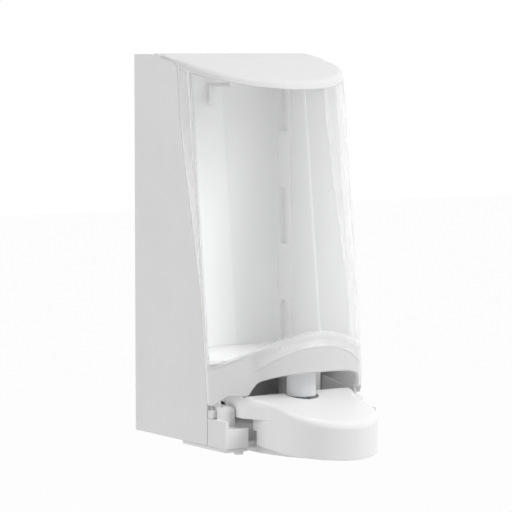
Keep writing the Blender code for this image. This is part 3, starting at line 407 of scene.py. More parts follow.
@dataclass(frozen=True)
class ClearPlastic:
    """Clear moulded plastic, frosted by the milk value on the mesh, with a painted highlight where it nears
    1.

    Attributes:
        slot: The record's finish that it stands for.
        colour: Tint of the clear part, linear.
        milk_colour: Colour of the frosted part, linear.
        painted_highlight_colour: Painted highlight colour, linear, taken where the milk value nears 1: along
            the corner line and the side walls' rear edge, and a little on the roof and the chin's cheeks.
        painted_highlight_from: Milk value at which that painted highlight starts to come in.
        clear_gloss: Roughness of the clear part.
        milk_gloss: Roughness of the frosted part.
        lamp_share: Share of lamp light that the clear part lets through.
        milk_share: The same for the fully milky part.
        haze: Milk value up to which the surface stays glossy.
        clouds: Where the frosting is uneven.
        unevenness: Lowest and highest factor of the frosting there.
        relief: Layers of relief, the finest last.
    """

    slot: Slot = Slot.CLEAR
    colour: Point3 = (0.975, 0.980, 0.980)
    milk_colour: Point3 = (0.69, 0.69, 0.688)
    # Painted highlight: where the milk value nears 1, the colour turns to this brighter one.
    painted_highlight_colour: Point3 = (0.93, 0.93, 0.925)
    painted_highlight_from: float = 0.94
    clear_gloss: float = 0.02
    milk_gloss: float = 0.40
    lamp_share: float = 0.94
    milk_share: float = 0.55
    haze: float = 0.2
    clouds: Grain = FROST_CLOUDS
    unevenness: Point2 = (0.97, 1.03)
    relief: tuple[Grain, ...] = (WALL_RIPPLE, FROST_GRAIN)

    def build(self) -> Material:
        """Make the material.

        Returns:
            The material.
        """
        made, tree, shader = new_material(self.slot.value)
        fill(shader, IOR=PLASTIC_IOR)
        stored = add_node(tree, "ShaderNodeAttribute")
        stored.attribute_type = "GEOMETRY"
        stored.attribute_name = MILK
        milk = stored.outputs["Fac"]
        frost = calculate(tree, "MULTIPLY", milk, self.clouds.spread(tree, *self.unevenness), True)
        frosted = blend_colours(tree, frost, self.colour, self.milk_colour)
        # Painted highlight: towards a milk value of 1, the frosted colour gives way to the brighter highlight
        # colour.
        painted_highlight = map_range(tree, milk, (self.painted_highlight_from, 1.0))
        wire(tree, blend_colours(tree, painted_highlight, frosted, self.painted_highlight_colour), shader.inputs["Base Color"])
        gloss = map_range(tree, frost, (self.haze, 1.0), (self.clear_gloss, self.milk_gloss))
        wire(tree, gloss, shader.inputs["Roughness"])
        wire(tree, map_range(tree, frost, (0.0, 1.0), (1.0, 0.0)), shader.inputs["Transmission Weight"])
        bumps(tree, shader, self.relief)
        self.let_lamps_through(tree, shader, frost)
        return made

    def let_lamps_through(self, tree: Tree, shader: Node, frost: Socket) -> None:
        """Give lamps a way through the clear part, so that the inside is lit.

        Args:
            tree: The material's nodes.
            shader: Its main shader.
            frost: How frosted each place is, from 0 to 1.
        """
        open_air = add_node(tree, "ShaderNodeBsdfTransparent")
        shade = blend_colours(tree, frost, (self.lamp_share,) * 3, (self.milk_share,) * 3)
        wire(tree, shade, open_air.inputs["Color"])
        shadow = add_node(tree, "ShaderNodeLightPath").outputs["Is Shadow Ray"]
        mix_shaders(tree, shadow, shader, open_air, tree.nodes["Material Output"])


def from_points(name: str, points: Sequence[Point3], faces: Sequence[Sequence[int]]) -> Piece:
    """Make a mesh object from millimetre points.

    Args:
        name: The piece's name.
        points: Corners in millimetres.
        faces: Corner numbers of each face.

    Returns:
        The object, with its faces turned outwards.
    """
    mesh = bpy.data.meshes.new(name)
    mesh.from_pydata([[value * MM for value in point] for point in points], [], faces)
    shape = bmesh.new()
    shape.from_mesh(mesh)
    bmesh.ops.recalc_face_normals(shape, faces=shape.faces)
    shape.to_mesh(mesh)
    shape.free()
    mesh.validate()
    mesh.shade_smooth()
    return placed(name, mesh)


def placed(name: str, data: bpy.types.ID) -> Piece:
    """Put a mesh, a lamp or a camera into the scene as an object.

    Args:
        name: The object's name.
        data: What it shows.

    Returns:
        The object.
    """
    made = bpy.data.objects.new(name, data)
    bpy.context.scene.collection.objects.link(made)
    return made


def block(name: str, low: Point3, high: Point3, soft: float = 0.3) -> Piece:
    """A box between two corners in millimetres, with rounded edges.

    Args:
        name: The piece's name.
        low: Lowest corner.
        high: Highest corner.
        soft: Radius of the edges in millimetres.

    Returns:
        The object.
    """
    shape = bmesh.new()
    bmesh.ops.create_cube(shape, size=1.0)
    size = Vector(high) - Vector(low)
    bmesh.ops.scale(shape, vec=size * MM, verts=shape.verts)
    bmesh.ops.translate(shape, vec=(Vector(low) + Vector(high)) / 2 * MM, verts=shape.verts)
    if soft:
        bmesh.ops.bevel(
            shape, geom=shape.edges[:], offset=soft * MM, segments=BEVEL_STEPS, profile=0.5, affect="EDGES"
        )
    mesh = bpy.data.meshes.new(name)
    shape.to_mesh(mesh)
    shape.free()
    return placed(name, mesh)


def between(start: float, end: float, share: float) -> float:
    """The value at a share of the way from one to another."""
    return start + (end - start) * share


def along(path: Sequence[Point2], share: float) -> Point2:
    """A point at a share of a polyline's length.

    Args:
        path: The polyline.
        share: From 0 at its start to 1 at its end.

    Returns:
        The point.
    """
    spans = [math.dist(a, b) for a, b in zip(path, path[1:])]
    left = share * sum(spans)
    for (a, b), span in zip(zip(path, path[1:]), spans):
        if left <= span:
            part = left / span if span else 0.0
            return between(a[0], b[0], part), between(a[1], b[1], part)
        left -= span
    return path[-1]


def ramp_between(value: float, low: float, high: float) -> float:
    """A smooth step from 0 at low to 1 at high."""
    share = min(max((value - low) / (high - low), 0.0), 1.0)
    return share * share * (3.0 - 2.0 * share)


def hang(piece: Piece, body: Body, slot: Slot, material: Material, *nodes: str) -> None:
    """Dress a piece, hang it on its body and hide the solids that it replaces.

    Args:
        piece: The finished piece.
        body: The body that carries it.
        slot: Its finish in the record; not used.
        material: That finish.
        *nodes: The solids that it replaces.
    """
    piece.data.materials.clear()
    piece.data.materials.append(material)
    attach(piece, body.value)
    if nodes:
        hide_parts(*nodes)
    LOG.info("%s built", piece.name)


@dataclass(frozen=True)
class Fall:
    """A line that falls away from its highest point, in millimetres.

    Attributes:
        top: Its greatest height.
        drop: How far it falls over the reach.
        reach: The distance over which it falls so far.
        power: How late the fall sets in, where 1 is straight.
    """

    top: float
    drop: float
    reach: float
    power: float

    def height(self, distance: float) -> float:
        """Height at a distance from the highest point."""
        return self.top - self.drop * (abs(distance) / self.reach) ** self.power


@dataclass
class FrontCover:
    """Clear curved front with a milky roof, rim and chin. Millimetres, depth forward of the wall.

    The front is an arc of bulge and sweep between two corner lines, whose depth falls from corner_at_floor
    by lean per millimetre of height. Its columns stand wide_step apart in the middle and close_step apart
    from close_from on, where the mouth turns up, and then at even angles up to corner_gap from the corner.
    The curl turns the chin's foot back. The rim between wall and roof has a milky band. The mouth is the
    lower edge as (x, z), from the middle outwards. The ridge is the raised line over it, a bead with a brow
    under it, and the arch is the milky chin's upper edge. A milk value says how frosted a place is, from 0
    to 1, and a fade is the distance from the middle over which something comes in or fades away. Near 1,
    a milk value also brings in the finish's painted highlight colour: a bright line painted along the corner
    and the side walls' rear edge, and a little lightening on the roof and cheeks.

    The side walls have their columns at side_shares, from 1 at the hinge to 0 at the corner. The knee is
    where their straight top ends, the notch is cut into the roof for the hinge, and rear_path is their rear
    edge as (depth, z), up to its round shoulder. The lugs carry the hinge pins, and the stops lie inside
    the cheeks.
    """

    half: float = 60.0
    corner_at_floor: float = 90.2
    lean: float = 0.1084
    bulge: float = 42.0
    sweep: float = math.radians(76.0)
    wall: float = 2.4
    curl: float = 5.0
    curl_top: float = 48.0
    curl_height: float = 15.0
    roof: Fall = Fall(top=250.5, drop=18.0, reach=82.0, power=1.25)
    roof_rows: int = 14
    roof_back: float = 24.5
    rim_round: float = 4.2
    rim_share: float = 0.45
    tightest: float = 0.4
    rim_band: float = 4.8
    rim_narrow: float = 0.35
    rim_fade: Point2 = (40.0, 60.0)
    band_edge: Point2 = (-0.35, 0.15)
    band_gap: float = 0.4
    cheek_z: float = 26.2
    edge_z: float = 33.0
    cheek_depth: float = 90.5
    edge_depth: float = 99.5
    mouth: tuple[Point2, ...] = (
        (0.0, 47.3), (5.4, 47.3), (14.4, 47.0), (23.4, 46.3), (30.15, 45.2),
        (35.0, 43.9), (36.9, 43.3), (38.3, 42.8), (39.4, 42.1), (40.4, 41.0),
        (42.3, 37.7), (43.4, 34.6), (44.0, 33.4), (44.8, 33.0), (61.0, 33.0),
    )
    ridge: Fall = Fall(top=64.0, drop=13.5, reach=40.0, power=2.2)
    ridge_least: float = 3.0
    ridge_half: float = 1.6
    bead: float = 0.45
    bead_width: float = 0.75
    brow: float = 0.9
    brow_height: float = 5.0
    brow_fade: Point2 = (36.0, 46.0)
    arch: Fall = Fall(top=72.3, drop=16.0, reach=50.0, power=2.0)
    arch_least: float = 5.5
    arch_blur: float = 2.0
    notch_x: float = 56.7
    notch_depth: float = 33.0
    lip: float = 1.0
    lip_share: float = 0.14
    chin_milk: float = 0.86
    brow_milk: float = 0.70
    cheek_milk: float = 0.965
    cheek_fade: Point2 = (20.0, 46.0)
    roof_milk: float = 0.95
    side_milk: float = 0.50
    # The side walls' lowest rows, along their rear edge, are nearly fully milky, which paints a highlight
    # along that edge.
    foot_milk_and_highlight: tuple[float, ...] = (0.99, 0.97)
    crease: float = 50.0
    roof_rows_down: int = 2
    haze: float = 0.14
    side_shares: tuple[float, ...] = (
        1.0, 0.97, 0.945, 0.936, 0.927, 0.918, 0.909, 0.90, 0.887, 0.84, 0.78,
        0.70, 0.62, 0.54, 0.46, 0.38, 0.30, 0.22, 0.14, 0.07, 0.024, 0.006,
    )
    knee: float = 0.887
    knee_depth: float = 54.2
    column_steps: tuple[int, int, int] = (23, 20, 22)
    wide_step: float = 1.4
    close_from: float = 32.0
    close_step: float = 0.65
    corner_gap: float = 0.011
    rear_path: tuple[Point2, ...] = ((86.76, 26.2), (79.3, 95.0), (55.4, 208.0), (52.8, 237.5))
    rear_radius: float = 8.6
    rear_turn: float = 83.0
    hinge_z: float = 248.2
    lug_middle: Point2 = (-26.2, 245.5)
    lug_radius: float = 3.2
    lug_x: Point2 = (52.4, 56.4)
    lug_front: float = -24.6
    lug_top: tuple[Point2, ...] = ((-24.6, 249.0), (-29.4, 248.9))
    stop_x: Point2 = (55.6, 57.9)
    stop_y: Point2 = (-88.56, -86.86)
    stop_z: Point2 = (27.5, 31.2)
    stop_edge: float = 0.25
    finish: ClearPlastic = ClearPlastic()

    def corner_depth(self, z: float) -> float:
        """Depth of the corner line at a height."""
        return self.corner_at_floor - self.lean * z

    def roof_z(self, depth: float) -> float:
        """Height of the roof at a depth."""
        return self.roof.height(max(depth - self.roof_back, 0.0))

    def front(self, angle: float, z: float) -> Point2:
        """The outer face in plan, as (x, depth).

        Args:
            angle: From 0 at the middle to the sweep at the corner, negative to the left.
            z: Height.

        Returns:
            The point on the outer face.
        """
        tucked = min(max((self.curl_top - z) / self.curl_height, 0.0), 1.0)
        bulge = self.bulge - self.curl * tucked * tucked
        edge = math.cos(self.sweep)
        forward = bulge * (math.cos(angle) - edge) / (1.0 - edge)
        return self.half * math.sin(angle) / math.sin(self.sweep), self.corner_depth(z) + forward

    def outward(self, angle: float, z: float) -> Point2:
        """The outer face's direction outwards in plan.

        Args:
            angle: Where it is on the arc.
            z: Height.

        Returns:
            The direction as (x, depth), of length 1.
        """
        step = 0.002
        before, after = self.front(angle - step, z), self.front(angle + step, z)
        along_x, along_depth = after[0] - before[0], after[1] - before[1]
        length = math.hypot(along_x, along_depth)
        return -along_depth / length, along_x / length

    def foot_z(self, x: float, depth: float) -> float:
        """Height of the lower edge.

        Args:
            x: Distance to the right of the middle.
            depth: Depth of the outer face there.

        Returns:
            The height.
        """
        if abs(x) > self.mouth[-2][0]:
            slope = (depth - self.cheek_depth) / (self.edge_depth - self.cheek_depth)
            return between(self.cheek_z, self.edge_z, min(max(slope, 0.0), 1.0))
        for (x_in, z_in), (x_out, z_out) in zip(self.mouth, self.mouth[1:]):
            if abs(x) <= x_out:
                return between(z_in, z_out, (abs(x) - x_in) / (x_out - x_in))
        return self.edge_z

    def ridge_z(self, x: float, foot: float) -> float:
        """Height of the raised line over the mouth, above a column's foot."""
        return max(self.ridge.height(x), foot + self.ridge_least)

    def rim_z(self, angle: float) -> float:
        """Height where the front meets the roof.

        Args:
            angle: Where it is on the arc.

        Returns:
            The height.
        """
        z = self.roof.top - self.roof.drop
        for _ in range(SETTLING_STEPS):
            z = self.roof_z(self.front(angle, z)[1])
        return z

    def swell(self, x: float, z: float, ridge: float, foot: float) -> float:
        """How far the chin's brow and its raised line stand out of the plain face.

        Args:
            x: Distance to the right of the middle.
            z: Height.
            ridge: Height of the raised line there.
            foot: Height of the lower edge there.

        Returns:
            The distance outwards.
        """
        fade = 1.0 - ramp_between(abs(x), *self.brow_fade)
        line = self.bead * math.exp(-(((z - ridge) / self.bead_width) ** 2))
        above = ramp_between(z, ridge, ridge + self.brow_height)
        brow = self.brow * (1.0 - above) * ramp_between(z, foot, ridge)
        return fade * (line + brow)

    def levels(self, x: float, foot: float, top: float) -> tuple[list[float], list[float]]:
        """Heights of one column's rows on the wall, and how milky each is.

        Args:
            x: Where the column stands.
            foot: Its lowest height.
            top: Its highest height, where the rim starts to round.

        Returns:
            The heights and the milk values.
        """
        ridge = self.ridge_z(x, foot)
        arch = max(self.arch.height(x), ridge + self.arch_least)
        narrow = 1.0 - self.rim_narrow * ramp_between(abs(x), *self.rim_fade)
        band = min(top + self.rim_round - self.rim_band * narrow, top - self.band_gap)
        pale = ramp_between(abs(x), *self.cheek_fade)
        chin = between(self.chin_milk, self.cheek_milk, pale)
        brow = between(self.brow_milk, self.cheek_milk, pale)
        stations = (
            (foot, chin, 10), (ridge - self.ridge_half, chin, 9), (ridge + self.ridge_half, brow, 6),
            (arch - self.arch_blur, brow, 4), (arch + self.arch_blur, self.haze, 25),
            (band + self.band_edge[0], self.haze, 2), (band + self.band_edge[1], self.roof_milk, 1),
            (top, self.roof_milk, 0),
        )
        heights, milks = [], []
        for (low, milk, steps), (high, next_milk, _) in zip(stations, stations[1:]):
            for step in range(steps):
                heights.append(between(low, high, step / steps))
                milks.append(between(milk, next_milk, step / steps))
        return heights + [top], milks + [self.roof_milk]

    def angles(self) -> list[float]:
        """Angles of the front's columns.

        Returns:
            The angles from the middle to the corner.
        """
        steps = self.column_steps
        places = [i * self.wide_step for i in range(steps[0])]
        places += [self.close_from + i * self.close_step for i in range(steps[1])]
        found = [math.asin(x * math.sin(self.sweep) / self.half) for x in places]
        start, last = found[-1], self.sweep - self.corner_gap
        return found + [between(start, last, (i + 1) / steps[2]) for i in range(steps[2])]

    def front_column(self, angle: float, inner: bool) -> tuple[list[Point3], list[float]]:
        """One column of the front, from the lower edge to where the roof starts.

        Args:
            angle: Where it stands.
            inner: True for the inner face.

        Returns:
            Points as (x, depth, z) and the milk value of each.
        """
        x, depth = self.front(angle, self.edge_z)
        foot = self.foot_z(x, depth)
        rim = self.rim_z(angle)
        heights, milks = self.levels(x, foot, rim - self.rim_round)
        ridge = self.ridge_z(x, foot)
        drop = self.wall if inner else 0.0
        column = []
        for z in heights:
            px, pd = self.front(angle, z)
            nx, nd = self.outward(angle, z)
            shift = -self.wall if inner else self.swell(x, z, ridge, foot)
            column.append((px + shift * nx, pd + shift * nd, z))
        around = self.rim_turn(self.front(angle, rim), self.outward(angle, rim), self.rim_round, drop)
        # The column at the corner is fully milky, which paints a highlight along the corner line.
        if abs(angle) > self.sweep - 2 * self.corner_gap:
            milks = [1.0] * len(milks)
        return column + around, milks + [self.roof_milk] * len(around)

    def rim_turn(self, start: Point2, out: Point2, radius: float, drop: float) -> list[Point3]:
        """The rounded rim between wall and roof, as (x, depth, z).

        Args:
            start: Where the outer wall meets the roof in plan.
            out: Direction outwards in plan.
            radius: The rim's radius.
            drop: 0 for the outer face, the wall for the inner one.

        Returns:
            The points after the wall's last row.
        """
        tight = max(radius - drop, self.tightest) if drop else radius
        turn, steps = [], 7
        for step in range(1, steps + 1):
            angle = math.pi / 2 * step / steps
            inset = drop + tight * (1.0 - math.cos(angle))
            x, depth = start[0] - out[0] * inset, start[1] - out[1] * inset
            turn.append((x, depth, self.roof_z(depth) - drop - tight * (1.0 - math.sin(angle))))
        return turn

    def rear_edge(self) -> list[Point2]:
        """The side wall's rear edge from the cheek's foot to the hinge.

        Returns:
            Its points as (depth, z).
        """
        edge, steps = list(self.rear_path), 8
        depth, z = edge[-1]
        for step in range(1, steps + 1):
            angle = math.radians(180.0 - self.rear_turn * step / steps)
            back = self.rear_radius * (1.0 + math.cos(angle))
            edge.append((depth - back, z + self.rear_radius * math.sin(angle)))
        return edge + [(self.notch_depth, self.hinge_z)]

    def side_column(self, share: float, side: Side, inner: bool) -> tuple[list[Point3], list[float]]:
        """One column of the flat side wall, from its rear edge to the roof's rim.

        Args:
            share: 0 at the corner, 1 at the hinge.
            side: Which side.
            inner: True for the inner face.

        Returns:
            Points as (x, depth, z) and the milk value of each.
        """
        corner_z = self.rim_z(self.sweep)
        corner = self.corner_depth(corner_z)
        low = along([(self.corner_depth(self.cheek_z), self.cheek_z)] + self.rear_edge(), share)
        if share < self.knee:
            top_depth = between(corner, self.knee_depth, share / self.knee)
        else:
            top_depth = between(self.knee_depth, self.notch_depth, (share - self.knee) / (1.0 - self.knee))
        top = self.roof_z(top_depth)
        radius = min(self.rim_round, self.rim_share * (top - low[1]))
        heights, milks = self.levels(self.half, self.cheek_z, corner_z - self.rim_round)
        drop = self.wall if inner else 0.0
        x = side.value * (self.half - drop)
        end = (top_depth, max(top - max(radius, drop + 2 * HAIR), low[1] + HAIR))
        column = []
        for height in heights:
            part = (height - heights[0]) / (heights[-1] - heights[0])
            column.append((x, between(low[0], end[0], part), between(low[1], end[1], part)))
        turn = self.rim_turn((side.value * self.half, top_depth), (side.value, 0.0), radius, drop)
        # Painted highlight: these near-1 milk values along the rear edge bring in the highlight colour.
        foot_milk_and_highlight = list(self.foot_milk_and_highlight)
        plain = len(milks) - len(foot_milk_and_highlight) - self.roof_rows_down
        frosted = foot_milk_and_highlight + [self.side_milk] * plain + [self.roof_milk] * self.roof_rows_down
        # The column next to the corner is fully milky, which paints a highlight along the corner line.
        if share < self.side_shares[-2]:
            frosted = [1.0] * len(milks)
        return column + turn, frosted + [self.roof_milk] * len(turn)

    def roof_ends(self, rims: Sequence[Point3]) -> list[Point2]:
        """Where each column ends on the roof's back edge, as (x, depth).

        Args:
            rims: The last rim point of each column.

        Returns:
            One end for each column.
        """
        count, side_count = len(rims), len(self.side_shares)
        ends: list[Point2] = []
        right = rims[0][0]
        for i in range(side_count):
            ends.append((between(right, self.notch_x, (i + 1) / side_count), self.notch_depth))
        ends[0] = (right, self.notch_depth)
        path = [(self.notch_x, self.notch_depth), (self.notch_x, self.roof_back)]
        path += [(-x, depth) for x, depth in reversed(path)]
        middle = count - 2 * side_count
        for i in range(middle):
            ends.append(along(path, i / (middle - 1)))
        ends += [(-x, depth) for x, depth in reversed(ends[:side_count])]
        return ends

    def skin(self, inner: bool) -> list[tuple[list[Point3], list[float]]]:
        """One face of the cover, wall and roof in one grid, from the right hinge round to the left one.

        Args:
            inner: True for the inner face.

        Returns:
            The points as (x, depth, z) and the milk values of each column.
        """
        angles, shares = self.angles(), self.side_shares
        columns = [self.side_column(share, Side.RIGHT, inner) for share in shares]
        columns += [self.front_column(angle, inner) for angle in reversed(angles)]
        columns += [self.front_column(-angle, inner) for angle in angles[1:]]
        columns += [self.side_column(share, Side.LEFT, inner) for share in reversed(shares)]
        drop = self.wall if inner else 0.0
        ends = self.roof_ends([points[-1] for points, _ in columns])
        for (points, milks), (end_x, end_depth) in zip(columns, ends):
            x, depth, _ = points[-1]
            for row in range(1, self.roof_rows + 1):
                share = row / self.roof_rows
                here = between(depth, end_depth, share)
                points.append((between(x, end_x, share), here, self.roof_z(here) - drop))
                milks.append(self.roof_milk)
        return columns

    def edge_turn(self, outer: Point3, outer_next: Point3, inner: Point3, inner_next: Point3) -> list[Point3]:
        """Pull an open edge's two corners back and round what is between them.

        Args:
            outer: Corner on the outer face.
            outer_next: The next point up the outer face.
            inner: Corner on the inner face.
            inner_next: The next point up the inner face.

        Returns:
            The points round the edge, from the outer face to the inner one.
        """
        a, b = Vector(outer), Vector(inner)
        up = (Vector(outer_next) - a) + (Vector(inner_next) - b)
        up = up.normalized() * min(self.lip, self.lip_share * up.length)
        middle, across = (a + b) / 2, (a - b) / 2
        turn = []
        for step in range(EDGE_POINTS):
            angle = math.pi * step / (EDGE_POINTS - 1)
            turn.append(tuple(middle + across * math.cos(angle) + up * (1.0 - math.sin(angle))))
        return turn

    def build_shell(self) -> Piece:
        """The cover's one closed wall, with rounded edges and its milk values.

        Returns:
            The wall.
        """
        outer, inner = self.skin(False), self.skin(True)
        points: list[Point3] = []
        values: list[float] = []
        rings = []
        for (out, milk_out), (inn, milk_in) in zip(outer, inner):
            foot = self.edge_turn(out[0], out[FOOT_ROWS], inn[0], inn[FOOT_ROWS])
            back = self.edge_turn(out[-1], out[-2], inn[-1], inn[-2])
            ring = foot[:1] + out[1:-1] + back + inn[-2:0:-1] + foot[:0:-1]
            edges = [milk_out[-1]] * EDGE_POINTS, [milk_in[0]] * (EDGE_POINTS - 1)
            milks = milk_out[:-1] + edges[0] + milk_in[-2:0:-1] + edges[1]
            start = len(points)
            points += ring
            values += milks
            rings.append(range(start, start + len(ring)))
        faces = []
        for left, right in zip(rings, rings[1:]):
            size = len(left)
            for i in range(size):
                j = (i + 1) % size
                faces.append((left[i], left[j], right[j], right[i]))
        high = len(outer[0][0]) - 2
        for ring in (list(rings[0]), list(rings[-1])):
            across = len(ring) - EDGE_POINTS
            faces.append(tuple(ring[across + 1 :] + ring[:1]))
            for i in range(high):
                faces.append((ring[i], ring[i + 1], ring[across - i], ring[across + 1 - i]))
            faces.append(tuple(ring[high : high + EDGE_POINTS + 2]))
        shell = from_points("clear_front", [(x, -depth, z) for x, depth, z in points], faces)
        stored = shell.data.attributes.new(MILK, "FLOAT", "POINT")
        stored.data.foreach_set("value", values)
        shell.data.set_sharp_from_angle(angle=math.radians(self.crease))
        return shell

    def build_fittings(self) -> list[Piece]:
        """Hinge lugs under the roof and the small stops inside the cheeks.

        Returns:
            A lug and a stop for each side.
        """
        made = []
        for side in Side:
            near, far = side.span(*self.lug_x)
            made.append(from_outline(f"hinge_lug_{side.label}", self.lug_outline(), near, far))
            low, high = zip(side.span(*self.stop_x), self.stop_y, self.stop_z)
            made.append(block(f"cover_stop_{side.label}", low, high, self.stop_edge))
        return made

    def lug_outline(self) -> list[Point2]:
        """A hinge lug seen from the side.

        Returns:
            Its outline as (y, z).
        """
        outline, steps = [], 16
        y, z = self.lug_middle
        for step in range(steps + 1):
            angle = math.pi + math.pi * step / steps
            front = min(y + self.lug_radius * math.cos(angle), self.lug_front)
            outline.append((front, z + self.lug_radius * math.sin(angle)))
        return outline + list(self.lug_top)

    def build(self) -> None:
        """Build the cover and hang it on its hinge."""
        material = self.finish.build()
        hang(self.build_shell(), Body.COVER, Slot.CLEAR, material, "front_cover")
        for piece in self.build_fittings():
            hang(piece, Body.COVER, Slot.CLEAR, material)


def from_outline(
    name: str, outline: Sequence[Point2], near: float, far: float, soft: float = 0.25
) -> Piece:
    """Push a side-view outline through from one X to another.

    Args:
        name: The piece's name.
        outline: Points as (y, z), in millimetres.
        near: Lowest X.
        far: Highest X.
        soft: Radius of the edges in millimetres.

    Returns:
        The object.
    """
    made = stacked(name, [[(x, y, z) for y, z in outline] for x in (near, far)])
    soften(made, soft)
    return made


def soften(piece: Piece, radius: float, degrees: float = 35.0) -> None:
    """Round a piece's hard edges.

    Args:
        piece: The piece.
        radius: Radius in millimetres.
        degrees: Edges sharper than this are rounded.
    """
    bevel = piece.modifiers.new("soft_edges", "BEVEL")
    bevel.width = radius * MM
    bevel.segments = BEVEL_STEPS
    bevel.limit_method = "ANGLE"
    bevel.angle_limit = math.radians(degrees)
    bevel.use_clamp_overlap = False
    bevel.miter_outer = "MITER_ARC"
    even = piece.modifiers.new("even_shading", "WEIGHTED_NORMAL")
    even.keep_sharp = False
    piece.data.shade_smooth()


def moulded_copy(node: str, radius: float) -> Piece:
    """A solid's mesh with flat faces merged and its hard edges rounded as a mould leaves them.

    Args:
        node: The solid's name.
        radius: Edge radius in millimetres.

    Returns:
        The new piece, which stands where the solid is.
    """
    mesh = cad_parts[node].data.copy()
    mesh.name = f"{node}_form"
    shape = bmesh.new()
    shape.from_mesh(mesh)
    bmesh.ops.remove_doubles(shape, verts=shape.verts, dist=WELD)
    bmesh.ops.dissolve_limit(shape, angle_limit=FLAT, verts=shape.verts, edges=shape.edges)
    bmesh.ops.recalc_face_normals(shape, faces=shape.faces)
    shape.to_mesh(mesh)
    shape.free()
    made = placed(f"{node}_moulding", mesh)
    soften(made, radius)
    return made


@dataclass
class MouldedPart:
    """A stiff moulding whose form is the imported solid's, with softened edges.

    Attributes:
        node: The solid.
        body: The body that carries it.
        edge: Radius of its edges in millimetres.
    """

    node: str
    body: Body
    edge: float

    def build(self, slot: Slot, material: Material) -> None:
        """Build the part and hang it on its body."""
        hang(moulded_copy(self.node, self.edge), self.body, slot, material, self.node)


@dataclass
class KeptSolid:
    """A small turned or wound part whose solid is fine as packed, and only gets its finish."""

    node: str

    def dress(self, material: Material) -> None:
        """Put the finish on the solid.

        Args:
            material: The finish.
        """
        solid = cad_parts[self.node]
        solid.data.materials.clear()
        solid.data.materials.append(material)
        LOG.info("%s dressed", self.node)


@dataclass
class Housing:
    """Everything that stays on the wall: back box, chassis, bottom plate, shelf and hanger."""

    parts: tuple[MouldedPart, ...] = (
        MouldedPart("housing_shell", Body.HOUSING, 0.35),
        MouldedPart("base_chassis", Body.HOUSING, 0.35),
        MouldedPart("bottom_plate", Body.HOUSING, 0.30),
        MouldedPart("refill_shelf", Body.HOUSING, 0.35),
        MouldedPart("bag_hanger", Body.HOUSING, 0.45),
        MouldedPart("latch_button_left", Body.LEFT_BUTTON, 0.30),
        MouldedPart("latch_button_right", Body.RIGHT_BUTTON, 0.30),
    )
    finish: MouldedPlastic = MouldedPlastic(Slot.WHITE, (0.80, 0.80, 0.80), (0.775, 0.777, 0.78))

    def build(self) -> None:
        """Build the white mouldings."""
        material = self.finish.build()
        for part in self.parts:
            part.build(Slot.WHITE, material)


def carve(piece: Piece, tool: Piece, operation: str = "DIFFERENCE") -> None:
    """Cut or join a solid with a helper, then remove the helper.

    Args:
        piece: The solid that changes.
        tool: The helper, which is deleted.
        operation: DIFFERENCE to cut the helper away, UNION to join it.
    """
    step = piece.modifiers.new("carve", "BOOLEAN")
    step.operation = operation
    step.solver = "EXACT"
    step.object = tool
    bpy.context.view_layer.update()
    graph = bpy.context.evaluated_depsgraph_get()
    result = bpy.data.meshes.new_from_object(piece.evaluated_get(graph))
    piece.modifiers.remove(step)
    piece.data = result
    bpy.data.objects.remove(tool, do_unlink=True)


def stacked(name: str, rings: Sequence[Sequence[Point3]]) -> Piece:
    """A closed solid through rings of equal count, flat at both ends.

    Args:
        name: The solid's name.
        rings: Rings in millimetres, from the lowest to the highest.

    Returns:
        The object.
    """
    count = len(rings[0])
    points = [point for ring in rings for point in ring]
    faces: list[tuple[int, ...]] = [tuple(range(count)), tuple(range(len(points) - count, len(points)))]
    for row in range(len(rings) - 1):
        base = row * count
        for i in range(count):
            j = (i + 1) % count
            faces.append((base + i, base + j, base + count + j, base + count + i))
    return from_points(name, points, faces)


def bar(name: str, radius: float, start: Point3, end: Point3, segments: int = 48) -> Piece:
    """A round bar between two points in millimetres.

    Args:
        name: The bar's name.
        radius: Its radius.
        start: Middle of one end.
        end: Middle of the other end.
        segments: Faces round it.

    Returns:
        The object.
    """
    a, b = Vector(start), Vector(end)
    turn = (b - a).to_track_quat("Z", "Y").to_matrix()
    rings = []
    for centre in (a, b):
        ring = []
        for i in range(segments):
            angle = 2 * math.pi * i / segments
            spoke = Vector((radius * math.cos(angle), radius * math.sin(angle), 0.0))
            ring.append(tuple(centre + turn @ spoke))
        rings.append(ring)
    return stacked(name, rings)


